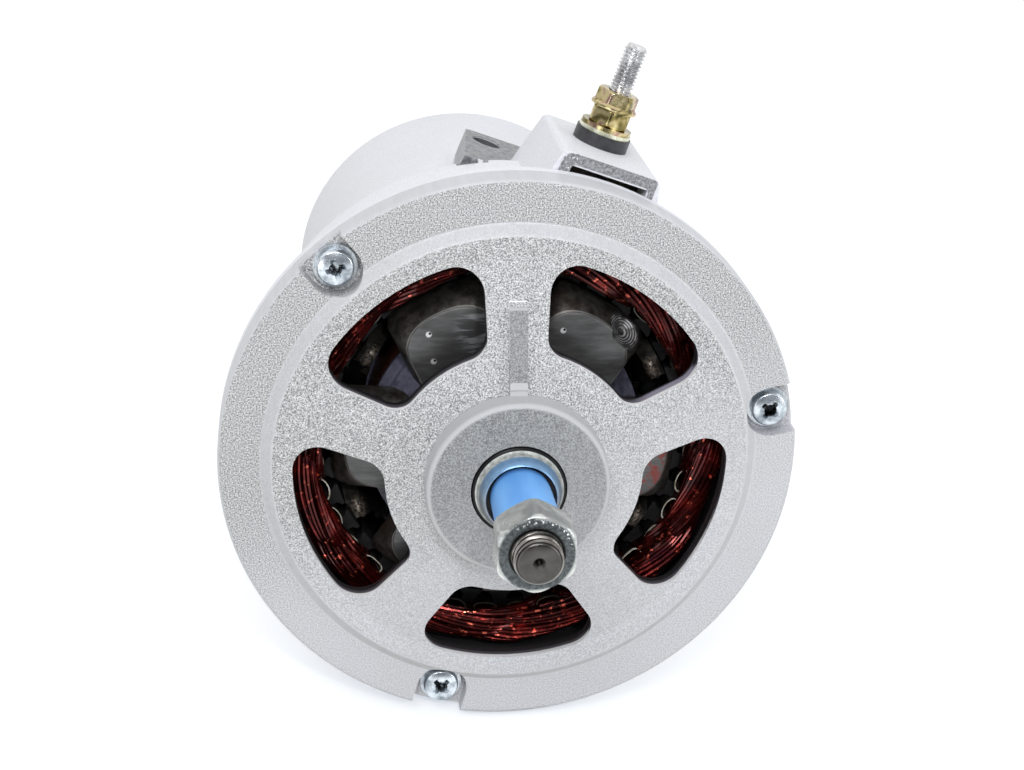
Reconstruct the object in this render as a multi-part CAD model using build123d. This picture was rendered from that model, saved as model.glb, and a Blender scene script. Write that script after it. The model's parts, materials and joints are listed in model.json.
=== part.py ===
from build123d import *
from math import cos, radians, sin, sqrt, tan
import os

# Air-cooled car alternator, rebuilt as separate pieces in millimetres.
# The shaft lies on Y with its fan end toward -Y, +Z is up, and the origin is
# where the shaft axis crosses the flat front face of the mounting flange.

# --- fits and clearances ---
seat_gap = 0.02        # a ring in its seat, or a part pushed onto the shaft
thread_gap = 0.05      # a screw shank in its hole
ball_gap = 0.05        # a ball against its groove, on each side

# --- main radii: rotor, stator, bell, barrel, flange ---
rotor_r = 46.0
air_gap = 0.45
stator_bore_r = rotor_r + air_gap
bell_bore_r = 62.5
bell_wall = 6.0
bell_r = bell_bore_r + bell_wall
barrel_r = 52.5
barrel_wall = 5.0
barrel_cast_r = barrel_r - 1.2  # as cast, in front of the machined strap seat
barrel_bore_r = barrel_r - barrel_wall
flange_ledge = 6.9     # flange beyond the bell
flange_r = bell_r + flange_ledge

# --- main places along the shaft ---
joint_y = 9.0          # shield meets housing
flange_thick = 4.0     # the housing's half of the flange
flange_back_y = joint_y + flange_thick
front_bearing_y = -15.0
rotor_front_y = 7.0
rotor_length = 42.0
rotor_back_y = rotor_front_y + rotor_length
rotor_mid_y = (rotor_front_y + rotor_back_y) / 2
barrel_end_y = 166.0
rear_bearing_y = barrel_end_y - 16.0

# --- front end shield ---
flange_edge_round = 1.1
face_width = 11.0      # the flat ring that the mounting faces seat on
face_step_r = flange_r - face_width
step_run = 2.5
band_r = face_step_r - step_run
window_outer_r = 56.4
window_inner_r = 33.2
band_y = -2.5
cone_slope = 0.245
boss_r = 23.4
boss_y = front_bearing_y - 3.0
shield_wall = 5.0
shaft_hole_r = 12.2
spigot_step = 2.45
spigot_r = bell_bore_r + spigot_step
spigot_inner_r = bell_bore_r - 1.5
spigot_length = 4.0
spigot_end_y = joint_y + spigot_length
register_gap = 0.5     # spigot's end to the floor of its register
register_slack = 0.05  # spigot to the register's wall
register_floor_y = spigot_end_y + register_gap
inner_boss_r = 29.5
window_count = 5
window_first_angle = 54.0
window_apex = 10.2     # where the two straight sides of a window would meet
window_flare = 32.8    # angle of those sides from the window's middle
window_outer_corner_r = 7.0
window_inner_corner_r = 6.0
rib_half_width = 2.25
rib_height = 1.8
rib_end_r = 46.2
rib_end_run = 2.3      # the rib slopes down over this last stretch
rib_angle = 90.0

# --- screws that hold the shield ---
screw_angles = (10.4, 130.4, 255.5)
screw_inset = 6.23
screw_circle_r = flange_r - screw_inset
screw_pocket_r = 6.8
screw_floor_y = joint_y - 4.0
screw_shank_r = 2.5
screw_head_r = 4.7
screw_head_height = 3.1
screw_head_round = 1.6
screw_cross_half = 2.3
screw_cross_half_width = 0.45
screw_cross_depth = 1.3
screw_washer_r = 5.6
screw_washer_thick = 1.2
screw_end_y = flange_back_y - 0.3

# --- winding space in the bell ---
turns_clear = 2.6      # from the stack to the bundled end turns
turns_front_length = 11.5
turns_back_length = 6.6
stack_length = 22.0
stack_front_y = rotor_mid_y - stack_length / 2
stack_back_y = rotor_mid_y + stack_length / 2
turns_front_y = stack_front_y - turns_front_length
turns_back_y = stack_back_y + turns_back_length

# --- housing ---
bell_end_taper = 0.5
bell_end_r = bell_r - bell_end_taper
bell_end_wall = 4.0
coil_room_r = bell_bore_r - 1.7
shoulder_inner_y = turns_back_y + 0.9
bell_end_y = shoulder_inner_y + bell_end_wall
bell_edge_round = 5.0
flange_back_round = 0.8
flange_foot_round = 1.5
barrel_foot_round = 2.0
barrel_end_round = 2.5
rear_wall_thick = 10.0
rear_wall_y = barrel_end_y - rear_wall_thick
rear_boss_r = 25.0
rear_boss_y = rear_bearing_y - 1.0
rear_lip_r = 14.0
vent_count = 6
vent_inner_r = 29.0
vent_outer_r = 43.0
vent_half_width = 6.0
pad_count = 3
pad_first_angle = 101.0
pad_inner_r = 36.0
pad_half_width = 6.5
pad_front_y = bell_end_y + 7.5
pad_length = 10.0
pad_seat_y = pad_front_y + pad_length

# --- terminal box cast on top of the bell ---
box_angle = 71.0
box_rise = 11.0
box_top_d = bell_r + box_rise
box_base_d = bell_r - 10.5
box_left = 13.3        # on the +Z side of the local frame
box_right = 12.8
box_side_draft = 15.0
box_front_y = flange_back_y + 0.2
box_length = 39.8
box_back_y = box_front_y + box_length
box_top_round = 2.0
box_wall = 2.8
box_roof = 3.3
slot_top_d = box_top_d - box_roof
slot_height = 3.0
slot_bottom_d = slot_top_d - slot_height
slot_half_width = 10.5
box_room_depth = 11.0
box_room_floor_d = slot_top_d - box_room_depth
lug_top_d = barrel_r + 10.5
lug_base_d = barrel_r - 12.5
lug_far = 27.6
lug_near = 10.5
lug_front_y = bell_end_y - 3.5
lug_length = 32.0
lug_back_y = lug_front_y + lug_length
lug_edge = 1.0
lug_hole_r = 4.15
lug_hole_offset = 22.4
lug_hole_y = lug_back_y - 9.0
lug_hole_depth = 12.0
strap_seat_y = lug_back_y + 2.0
lead_hole_r = 3.6
web_top_d = box_top_d - 8.5
web_foot_d = barrel_r + 8.0
web_bend_y = box_back_y + 8.0
web_end_y = web_bend_y + 13.0
web_half_width = 6.5
web_root_y = bell_end_y - 3.5
blade_zs = (-5.2, 5.2)
blade_half_width = 2.3
blade_thick = 0.8
blade_bottom_d = slot_bottom_d - 1.3
blade_seat_gap = 0.1
block_front_y = box_front_y + 9.0
block_thick = 4.5
block_gap = 0.2
blade_front_y = box_front_y + 3.5
blade_length = 11.0

# --- output stud ---
stud_offset = 0.4      # from the middle of the box, toward its left
stud_y = 35.0
stud_r = 3.0
stud_reach = 27.5
stud_tip_d = box_top_d + stud_reach
stud_tip_chamfer = 0.7
stud_head_af = 10.0
stud_head_height = 4.0
stud_bush_r = 4.4
inner_insulator_r = 6.5
inner_insulator_height = 2.5
outer_insulator_r = 7.4
outer_insulator_height = 3.5
pale_washer_r = 7.0
pale_washer_height = 1.0
yellow_washer_r = 6.8
yellow_washer_height = 1.1
stud_nut_af = 10.0
lower_nut_height = 4.5
flange_nut_height = 4.6
flange_nut_rim_r = 6.2
flange_nut_rim_height = 1.3

# --- bearings, 17 x 40 x 12 ---
bearing_outer_r = 20.0
bearing_bore_r = 8.5
bearing_width = 12.0
outer_land_r = 16.6
inner_land_r = 11.9
ball_circle_r = 14.25
ball_r = 3.35
ball_count = 8
groove_half_width = 2.5
groove_floor_half = 1.4
cage_inner_r = 13.6
cage_outer_r = 14.9
cage_half_width = 4.6
cage_pocket_r = 3.45
retainer_inner_r = 16.2
retainer_outer_r = 28.5
retainer_thick = 1.6
retainer_screw_circle_r = 24.7
retainer_screw_r = 2.0
retainer_screw_head_r = 3.4
retainer_screw_head_height = 2.0
retainer_screw_length = 5.0
retainer_screw_end_y = front_bearing_y + bearing_width - retainer_screw_length
retainer_first_angle = 30.0

# --- shaft ---
front_tip_y = -58.1
front_thread_r = 5.95
front_thread_length = 14.6
front_thread_end_y = front_tip_y + front_thread_length
fan_seat_r = 7.5
dimple_r = 2.2
rotor_seat_r = bearing_bore_r
sleeve_r = 8.1
collar_r = 11.3
collar_front_y = front_bearing_y - 1.6
collar_groove_r = 8.8  # ring groove between collar and sleeve
collar_groove_depth = 1.2
collar_step = 1.6
collar_step_depth = 0.7
fan_nut_af = 18.6
fan_nut_height = 10.0
pulley_spacer_r = 12.0
pulley_spacer_end_y = barrel_end_y + 3.0
pulley_seat_length = 21.0
rear_seat_end_y = pulley_spacer_end_y + pulley_seat_length
rear_thread_r = 6.9
rear_thread_length = 17.0
rear_tip_y = rear_seat_end_y + rear_thread_length
pulley_nut_af = 21.0
pulley_nut_height = 10.0
key_width = 4.0
key_front_y = pulley_spacer_end_y + 4.0
key_length = 13.0
key_top_r = 9.7
key_floor_r = 5.6

# --- claw-pole rotor ---
pole_count = 6
pole_first_angle = 56.2
finger_tip_gap = 7.0   # a finger stops this far short of the other face
shoulder_drop = 3.4
face_r = rotor_r - shoulder_drop
shoulder_run = 9.0
plate_thick = 10.0
face_half_width = 11.95
root_half_width = 13.9
root_run = 5.0
tip_half_width = 3.0
finger_root_r = rotor_r - 7.0
finger_tip_r = rotor_r - 3.8
hub_flat_r = 26.0
hub_cone_r = 34.0
core_r = 18.0
bobbin_wall = 1.3
bobbin_flange_r = finger_root_r - 2.2
coil_r = bobbin_flange_r - 0.6
lead_r = 0.8
lead_pass_r = 22.0
lead_run_r = rotor_seat_r + 1.1
balance_hole_r = 3.6
balance_hole_circle_r = rotor_r - 1.4
balance_hole_angle = 47.0
balance_hole_end_y = rotor_front_y + 3.5
balance_hole_point = 1.8
balance_hole_tip_r = 0.4

# --- slip rings and brushes ---
ring_hub_r = 12.0
ring_hub_end_y = rear_boss_y - 6.0
ring_hub_length = 21.0
ring_hub_front_y = ring_hub_end_y - ring_hub_length
ring_r = 13.5
ring_width = 7.0
ring_step = 10.0
first_ring_y = ring_hub_front_y + 2.0
ring_front_ys = (first_ring_y, first_ring_y + ring_step)
brush_angle = 90.0
brush_contact_gap = 0.05
brush_length = 13.5
brush_half_y = 2.5
brush_half_z = 3.0
brush_slide_gap = 0.15
holder_inner_d = ring_r + 4.0
holder_outer_d = barrel_bore_r - 0.7
holder_front_y = ring_hub_front_y - 1.0
holder_length = 23.5
holder_end_y = holder_front_y + holder_length
holder_half_z = 7.0
holder_foot_thick = 4.5
holder_foot_y = rear_wall_y - holder_foot_thick
holder_bore_end_d = holder_outer_d - 3.8
holder_screw_d = 31.0
holder_screw_zs = (-4.6, 4.6)
holder_screw_r = 1.5
holder_screw_head_r = 2.0
holder_screw_head_height = 2.0
spring_wire_r = 0.4
spring_coil_r = 1.7
spring_turns = 4
regulator_length = 22.0
regulator_front_y = holder_front_y - regulator_length
regulator_inner_d = 34.0
regulator_half_z = 10.0

# --- stator ---
slot_count = 36
tooth_tip_r = stator_bore_r + 0.85
slot_mouth_half = 1.1
slot_neck_r = tooth_tip_r + 0.8
slot_neck_half = 2.1
slot_floor_r = bell_bore_r - 5.5
slot_floor_half = 2.9
liner_gap = 0.08
liner_thick = 0.35
liner_stand = 2.4
bar_gap = 0.1
turns_inner_r = slot_neck_r + 0.5
turns_outer_r = bell_bore_r - 2.9
turns_chamfer = (turns_outer_r - turns_inner_r) * 0.33
turns_back_chamfer = 1.5

# --- rectifier ---
sink_thick = 3.0
sink_inner_r = 22.0
sink_outer_r = barrel_bore_r - 0.9
sink_step = 9.0        # front face of one plate to front face of the next
live_y = pad_seat_y + sink_step
diode_first_angle = 41.0
diode_circle_r = 35.0
diode_r = 6.4
diode_body = 6.0
diode_pin_r = 0.8
diode_pin = 3.5
sink_bolt_circle_r = sink_outer_r - 5.6
sink_bolt_r = 2.4
sink_bolt_head_r = 4.2
sink_bolt_head_height = 3.0
sink_spacer_r = 5.0
sink_cap_thick = 1.5
phase_wire_r = 1.1
lead_wall_gap = 0.6    # from the phase wires to the barrel's bore
link_run_r = 18.5
output_lead_r = 2.0
lead_pass_d = sink_outer_r - 5.0
lead_bend_y = pad_seat_y - 5.0
lead_pass_hole_r = 3.4

# --- holes worked out from the screws in them ---
screw_hole_r = screw_shank_r + thread_gap
rib_base_r = boss_r - 1.5
slot_angle_step = 360 / slot_count


def section(points, rounds=()):
    """A closed outline in (radius, axial) with chosen corners rounded."""
    face = Polygon(*points, align=None)
    for index, radius in rounds:
        x, y = points[index]
        corner = [v for v in face.vertices() if abs(v.X - x) + abs(v.Y - y) < 1e-5]
        face = fillet(corner, radius)
    return face


def turned(points, rounds=()):
    """A solid of revolution about the shaft axis."""
    return revolve(section(points, rounds), Axis.Y, 360)


def tube(inner, outer, y0, y1):
    return turned([(inner, y0), (outer, y0), (outer, y1), (inner, y1)])


def rod(radius, y0, y1):
    return turned([(0, y0), (radius, y0), (radius, y1), (0, y1)])


def prism(outline, y0, y1):
    """An outline drawn in (X, Z) run along Y."""
    return Pos(0, y1, 0) * extrude(Plane.XZ * outline, amount=y1 - y0, dir=(0, -1, 0))


def around(shape, angle):
    """Turns a piece made on +X to a clock angle, counted from +X toward +Z."""
    return Rot(0, -angle, 0) * shape


def ring_of(shape, count, first=0.0):
    return [around(shape, first + i * 360 / count) for i in range(count)]


def at_screws(shape):
    return [around(shape, angle) for angle in screw_angles]


def block(x0, x1, y0, y1, z0, z1):
    centre = Pos((x0 + x1) / 2, (y0 + y1) / 2, (z0 + z1) / 2)
    return centre * Box(x1 - x0, y1 - y0, z1 - z0)


def group(shapes):
    return Compound(children=[part for shape in shapes for part in shape.solids()])


def joined(shapes):
    first, *rest = shapes
    return first + rest


def hexagon(across_flats, turn=0.0):
    corner_r = across_flats / 2 / cos(radians(30))
    return Rot(0, 0, turn) * RegularPolygon(corner_r, 6)


def hex_prism(across_flats, y0, y1, turn=0.0, bore=0.0, chamfered=(True, True)):
    """A hexagon along Y with its corners turned off at the chosen ends."""
    corner = across_flats / 2 / cos(radians(30))
    flat = across_flats / 2
    drop = (corner - flat) * 0.62
    start = flat if chamfered[0] else corner
    end = flat if chamfered[1] else corner
    outline = [(bore, y0), (start, y0)]
    if chamfered[0]:
        outline.append((corner, y0 + drop))
    if chamfered[1]:
        outline.append((corner, y1 - drop))
    outline += [(end, y1), (bore, y1)]
    return prism(hexagon(across_flats, turn), y0, y1) & turned(outline)


def wire(points, radius):
    """Round wire along a bent path given as XYZ points."""
    path = Polyline(*points)
    start = Plane(path @ 0, z_dir=path % 0)
    return sweep(start * Circle(radius), path=path, transition=Transition.RIGHT)


def cone_y(radius):
    """Front surface of the shield's spokes at a radius."""
    return band_y - cone_slope * (window_outer_r - radius)


# radial places of the stud stack, counted from the shaft axis
stud_places = {}
stud_places["room_roof"] = slot_top_d
stud_places["head_top"] = slot_top_d - inner_insulator_height
stud_places["pale"] = box_top_d + outer_insulator_height
stud_places["yellow"] = stud_places["pale"] + pale_washer_height
stud_places["lower_nut"] = stud_places["yellow"] + yellow_washer_height
stud_places["flange_nut"] = stud_places["lower_nut"] + lower_nut_height
stud_places["top"] = stud_places["flange_nut"] + flange_nut_height


def window_outline():
    spread = tan(radians(window_flare))
    far = window_outer_r + 10
    wedge = Polygon((0, window_apex), ((far - window_apex) * spread, far),
                    (-(far - window_apex) * spread, far), align=None)
    hole = (Circle(window_outer_r) - Circle(window_inner_r)) & wedge
    corners = hole.vertices()
    outer = [v for v in corners if sqrt(v.X ** 2 + v.Y ** 2) > window_outer_r - 0.01]
    hole = fillet(outer, window_outer_corner_r)
    inner = [v for v in hole.vertices() if sqrt(v.X ** 2 + v.Y ** 2) < window_inner_r + 0.01]
    return fillet(inner, window_inner_corner_r)


def screw_pocket():
    """A round-bottomed notch, open to the rim, for one cover screw."""
    seat = Pos(screw_circle_r, 0) * Circle(screw_pocket_r)
    mouth = Pos(screw_circle_r + 10, 0) * Rectangle(20, 2 * screw_pocket_r)
    return prism(seat + mouth, -5, screw_floor_y)


def front_end_shield():
    outline = [
        (shaft_hole_r, boss_y),
        (boss_r, boss_y),
        (boss_r, cone_y(boss_r)),
        (window_outer_r, band_y),
        (band_r, band_y),
        (face_step_r, 0),
        (flange_r, 0),
        (flange_r, joint_y),
        (spigot_r, joint_y),
        (spigot_r, spigot_end_y),
        (spigot_inner_r, spigot_end_y),
        (spigot_inner_r, band_y + shield_wall),
        (window_outer_r, band_y + shield_wall),
        (inner_boss_r, cone_y(inner_boss_r) + shield_wall),
        (inner_boss_r, front_bearing_y + bearing_width),
        (bearing_outer_r + seat_gap, front_bearing_y + bearing_width),
        (bearing_outer_r + seat_gap, front_bearing_y),
        (shaft_hole_r, front_bearing_y),
    ]
    rounds = [(1, 1.3), (2, 1.2), (4, 0.6), (5, 0.6), (6, flange_edge_round)]
    shield = turned(outline, rounds)
    rib = [
        (rib_base_r, cone_y(rib_base_r) + 1),
        (rib_base_r, cone_y(rib_base_r) - rib_height),
        (rib_end_r - rib_end_run, cone_y(rib_end_r - rib_end_run) - rib_height),
        (rib_end_r, cone_y(rib_end_r) + 0.3),
    ]
    bar = extrude(Polygon(*rib, align=None), amount=rib_half_width, both=True)
    shield = shield + around(bar, rib_angle)
    window = prism(window_outline(), boss_y - 2, spigot_end_y)
    windows = [around(window, window_first_angle - 90 + i * 360 / window_count)
               for i in range(window_count)]
    pockets = at_screws(screw_pocket())
    holes = at_screws(Pos(screw_circle_r, 0, 0) * rod(screw_hole_r, screw_floor_y - 1, joint_y + 1))
    tapped = Pos(retainer_screw_circle_r, 0, 0) * rod(
        retainer_screw_r + thread_gap, retainer_screw_end_y - 0.5, 0)
    return shield - windows - pockets - holes - ring_of(tapped, 3, retainer_first_angle)


def terminal_box():
    spread = (box_top_d - box_base_d) * tan(radians(box_side_draft))
    outline = Polygon((box_top_d, box_left), (box_base_d, box_left + spread),
                      (box_base_d, -box_right - spread), (box_top_d, -box_right), align=None)
    body = prism(outline, box_front_y, box_back_y)
    top = [e for e in body.edges() if e.center().X > box_top_d - 0.1 and e.center().Y > box_front_y + 1]
    body = fillet(top, box_top_round) - rod(bell_bore_r + 1, 0, barrel_end_y)
    return around(body, box_angle)


def box_room():
    """The hollow of the terminal box with its slot through the front wall."""
    room = block(box_room_floor_d, slot_top_d, box_front_y + box_wall,
                 box_back_y - box_wall, -slot_half_width, slot_half_width)
    slot = block(slot_bottom_d, slot_top_d, box_front_y - 1, box_front_y + box_wall + 1,
                 -slot_half_width, slot_half_width)
    return around(room + slot, box_angle)


def lead_web():
    """Cast web that covers the output lead's passage behind the box."""
    outline = Polygon((barrel_bore_r + 1, web_root_y), (web_top_d, web_root_y), (web_top_d, box_back_y),
                      (web_foot_d, web_bend_y), (barrel_bore_r + 1, web_end_y), align=None)
    web = Pos(0, 0, stud_offset) * extrude(outline, amount=web_half_width, both=True)
    return around(web, box_angle)


def clamp_lug():
    body = block(lug_base_d, lug_top_d, lug_front_y, lug_back_y, lug_near, lug_far)
    body = chamfer(body.edges().filter_by(Axis.X).sort_by(Axis.Y)[-2:], lug_edge)
    return around(body - rod(barrel_bore_r, 0, barrel_end_y), box_angle)


def lug_hole():
    drill = stand(lug_hole_y, rod(lug_hole_r, lug_top_d - lug_hole_depth, lug_top_d + 5))
    return around(Pos(0, 0, lug_hole_offset) * drill, box_angle)


def stand(y, shape):
    """Stands a piece made about Y on +X instead, at an axial place."""
    return Pos(0, y, 0) * Rot(0, 0, -90) * shape


def on_stud(shape):
    return around(Pos(0, 0, stud_offset) * stand(stud_y, shape), box_angle)


def lead_path():
    """Corners of the output lead from the live plate to the stud's head."""
    under_head = stud_places["head_top"] - stud_head_height - output_lead_r - seat_gap
    return [(lead_pass_d, live_y, stud_offset), (lead_pass_d, lead_bend_y, stud_offset),
            (under_head, stud_y + 6.5, stud_offset), (under_head, stud_y - 2, stud_offset)]


def housing():
    outline = [
        (bell_bore_r, register_floor_y),
        (spigot_r + register_slack, register_floor_y),
        (spigot_r + register_slack, joint_y),
        (flange_r, joint_y),
        (flange_r, flange_back_y),
        (bell_r, flange_back_y),
        (bell_end_r, bell_end_y),
        (barrel_cast_r, bell_end_y),
        (barrel_cast_r, strap_seat_y),
        (barrel_r, strap_seat_y),
        (barrel_r, barrel_end_y),
        (rear_lip_r, barrel_end_y),
        (rear_lip_r, rear_bearing_y + bearing_width),
        (bearing_outer_r + seat_gap, rear_bearing_y + bearing_width),
        (bearing_outer_r + seat_gap, rear_boss_y),
        (rear_boss_r, rear_boss_y),
        (rear_boss_r, rear_wall_y),
        (barrel_bore_r, rear_wall_y),
        (barrel_bore_r, shoulder_inner_y),
        (coil_room_r, shoulder_inner_y),
        (coil_room_r, stack_back_y),
        (bell_bore_r, stack_back_y),
    ]
    rounds = [(4, flange_back_round), (5, flange_foot_round), (6, bell_edge_round),
              (7, barrel_foot_round), (10, barrel_end_round)]
    body = turned(outline, rounds)
    pad = block(pad_inner_r, barrel_bore_r + 2, pad_front_y, pad_seat_y, -pad_half_width, pad_half_width)
    pads = ring_of(pad, pad_count, pad_first_angle)
    body = body + pads + [terminal_box(), lead_web(), clamp_lug()]
    holes = at_screws(Pos(screw_circle_r, 0, 0) * rod(screw_hole_r, joint_y - 1, flange_back_y + 1))
    pad_hole = Pos(sink_bolt_circle_r, 0, 0) * rod(sink_bolt_r + thread_gap, pad_front_y - 1, pad_seat_y + 1)
    pad_holes = ring_of(pad_hole, pad_count, pad_first_angle)
    vent = block(vent_inner_r, vent_outer_r, rear_wall_y - 5, barrel_end_y + 5, -vent_half_width, vent_half_width)
    vent = fillet(vent.edges().filter_by(Axis.Y), vent_half_width - 0.5)
    vents = ring_of(vent, vent_count, brush_angle + 30)
    foot_holes = [around(Pos(holder_screw_d, 0, z) * rod(holder_screw_r + thread_gap, rear_wall_y - 1, rear_wall_y + 8),
                         brush_angle) for z in holder_screw_zs]
    stud_hole = on_stud(rod(stud_bush_r + thread_gap, slot_top_d - 3, box_top_d + 3))
    _, low, high, _ = lead_path()
    run = Polyline(low, high)
    lead_hole = sweep(Plane(run @ 0, z_dir=run % 0) * Circle(lead_hole_r), path=run)
    register = rod(spigot_r + register_slack, 0, register_floor_y)
    cuts = [register, box_room(), lug_hole(), stud_hole, around(lead_hole, box_angle)]
    return body - cuts - holes - pad_holes - vents - foot_holes


def cover_screw():
    """Pan-head cross-recess screw standing on its washer in a pocket."""
    top = screw_floor_y - screw_washer_thick
    head = top - screw_head_height
    outline = [(0, head), (screw_head_r, head), (screw_head_r, top), (screw_shank_r, top),
               (screw_shank_r, screw_end_y), (0, screw_end_y)]
    body = turned(outline, [(1, screw_head_round)])
    for turn in (45, 135):
        body = body - Rot(0, turn, 0) * block(
            -screw_cross_half, screw_cross_half, head - 1, head + screw_cross_depth,
            -screw_cross_half_width, screw_cross_half_width)
    return Pos(screw_circle_r, 0, 0) * body


def cover_screws():
    return group(at_screws(cover_screw()))


def cover_screw_washers():
    ring = tube(screw_hole_r, screw_washer_r, screw_floor_y - screw_washer_thick, screw_floor_y)
    return group(at_screws(Pos(screw_circle_r, 0, 0) * ring))


def bearing_outer_ring(y):
    """Outer ring with a groove for the balls."""
    mid = y + bearing_width / 2
    groove_r = ball_circle_r + ball_r + ball_gap
    return turned([
        (outer_land_r, y), (bearing_outer_r, y), (bearing_outer_r, y + bearing_width),
        (outer_land_r, y + bearing_width), (outer_land_r, mid + groove_half_width),
        (groove_r, mid + groove_floor_half), (groove_r, mid - groove_floor_half),
        (outer_land_r, mid - groove_half_width),
    ])


def bearing_inner_ring(y):
    mid = y + bearing_width / 2
    groove_r = ball_circle_r - ball_r - ball_gap
    bore = bearing_bore_r + seat_gap
    return turned([
        (bore, y), (inner_land_r, y), (inner_land_r, mid - groove_half_width),
        (groove_r, mid - groove_floor_half), (groove_r, mid + groove_floor_half),
        (inner_land_r, mid + groove_half_width),
        (inner_land_r, y + bearing_width), (bore, y + bearing_width),
    ])


def bearing_balls(y):
    ball = Pos(ball_circle_r, y + bearing_width / 2, 0) * Sphere(ball_r)
    return group(ring_of(ball, ball_count))


def bearing_cage(y):
    mid = y + bearing_width / 2
    cage = tube(cage_inner_r, cage_outer_r, mid - cage_half_width, mid + cage_half_width)
    pocket = stand(mid, rod(cage_pocket_r, cage_inner_r - 2, cage_outer_r + 2))
    return cage - ring_of(pocket, ball_count)


def bearing_retainer_plate():
    y = front_bearing_y + bearing_width
    plate = tube(retainer_inner_r, retainer_outer_r, y, y + retainer_thick)
    hole = Pos(retainer_screw_circle_r, 0, 0) * rod(retainer_screw_r + thread_gap, y - 1, y + 5)
    return plate - ring_of(hole, 3, retainer_first_angle)


def retainer_screws():
    y = front_bearing_y + bearing_width + retainer_thick
    outline = [(0, retainer_screw_end_y), (retainer_screw_r, retainer_screw_end_y),
               (retainer_screw_r, y), (retainer_screw_head_r, y),
               (retainer_screw_head_r, y + retainer_screw_head_height),
               (0, y + retainer_screw_head_height)]
    screw = Pos(retainer_screw_circle_r, 0, 0) * turned(outline)
    return group(ring_of(screw, 3, retainer_first_angle))


def slot_outline(inset, floor_inset=0.0):
    """One winding slot seen along the shaft, drawn in by an inset."""
    return Polygon(
        (slot_neck_r + inset, slot_neck_half - inset),
        (slot_floor_r - inset - floor_inset, slot_floor_half - inset),
        (slot_floor_r - inset - floor_inset, -slot_floor_half + inset),
        (slot_neck_r + inset, -slot_neck_half + inset), align=None)


def stator_core():
    stack = tube(stator_bore_r, bell_bore_r - seat_gap, stack_front_y, stack_back_y)
    mouth = Polygon((stator_bore_r - 1, slot_mouth_half), (tooth_tip_r, slot_mouth_half),
                    (slot_neck_r, slot_neck_half), (slot_floor_r, slot_floor_half),
                    (slot_floor_r, -slot_floor_half), (slot_neck_r, -slot_neck_half),
                    (tooth_tip_r, -slot_mouth_half), (stator_bore_r - 1, -slot_mouth_half), align=None)
    slot = prism(mouth, stack_front_y - 1, stack_back_y + 1)
    return stack - ring_of(slot, slot_count, slot_angle_step / 2)


def slot_liners():
    wall = slot_outline(liner_gap) - slot_outline(liner_gap + liner_thick)
    liner = prism(wall, stack_front_y - liner_stand, stack_back_y + liner_stand)
    return group(ring_of(liner, slot_count, slot_angle_step / 2))


def end_turns(far_y, near_y, corner):
    """One bundled ring of end turns, its outer corners rounded off by a flat."""
    c = corner if far_y < near_y else -corner
    return turned([
        (turns_inner_r + corner, far_y), (turns_outer_r - corner, far_y),
        (turns_outer_r, far_y + c), (turns_outer_r, near_y),
        (turns_inner_r, near_y), (turns_inner_r, far_y + c),
    ])


def stator_windings():
    """Two bundled end rings joined by the bars that fill the slots."""
    bar = prism(slot_outline(liner_gap + liner_thick + bar_gap), turns_front_y + 6, turns_back_y - 3)
    front = end_turns(turns_front_y, stack_front_y - turns_clear, turns_chamfer)
    back = end_turns(turns_back_y, stack_back_y + turns_clear, turns_back_chamfer)
    return joined([front, back] + ring_of(bar, slot_count, slot_angle_step / 2))


def claw_pole(with_balance_hole=False):
    """Front half of the rotor: a plate with six tapering fingers and a core."""
    bore = rotor_seat_r + seat_gap
    tip_y = rotor_back_y - finger_tip_gap
    plate_back = rotor_front_y + plate_thick
    finger = [
        (bore, rotor_front_y), (face_r, rotor_front_y), (rotor_r, rotor_front_y + shoulder_run),
        (rotor_r, tip_y - 1.2), (rotor_r - 0.9, tip_y), (finger_tip_r, tip_y),
        (finger_root_r, plate_back), (bore, plate_back),
    ]
    taper = Polygon(
        (rotor_front_y, face_half_width), (rotor_front_y + root_run, root_half_width),
        (tip_y - 1.5, tip_half_width), (tip_y, tip_half_width - 1), (tip_y, -tip_half_width + 1),
        (tip_y - 1.5, -tip_half_width), (rotor_front_y + root_run, -root_half_width),
        (rotor_front_y, -face_half_width), align=None)
    blank = extrude(Plane(origin=(0, 0, 0), x_dir=(0, 1, 0), z_dir=(1, 0, 0)) * taper, amount=60, dir=(1, 0, 0))
    claw = blank & turned(finger)
    core = turned([
        (bore, rotor_front_y), (hub_flat_r, rotor_front_y),
        (hub_cone_r, rotor_front_y + hub_cone_r - hub_flat_r), (hub_cone_r, plate_back),
        (core_r, plate_back), (core_r, rotor_mid_y), (bore, rotor_mid_y),
    ])
    pole = joined([core] + ring_of(claw, pole_count, pole_first_angle))
    if with_balance_hole:
        drill = turned([(0, 0), (balance_hole_r, 0), (balance_hole_r, balance_hole_end_y),
                        (balance_hole_tip_r, balance_hole_end_y + balance_hole_point),
                        (0, balance_hole_end_y + balance_hole_point)])
        pole = pole - around(Pos(balance_hole_circle_r, 0, 0) * drill, balance_hole_angle)
    return pole


def rear_claw_pole():
    """The same half turned end for end, its fingers between the front ones."""
    flipped = Pos(0, 2 * rotor_mid_y, 0) * mirror(claw_pole(), Plane.XZ)
    pole = around(flipped, 180 / pole_count)
    passage = Pos(lead_pass_r, 0, 0) * rod(lead_r + 0.6, rotor_mid_y, rotor_back_y + 5)
    return pole - ring_of(passage, 2)


def bobbin_ends():
    return rotor_front_y + plate_thick, rotor_back_y - plate_thick


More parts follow.
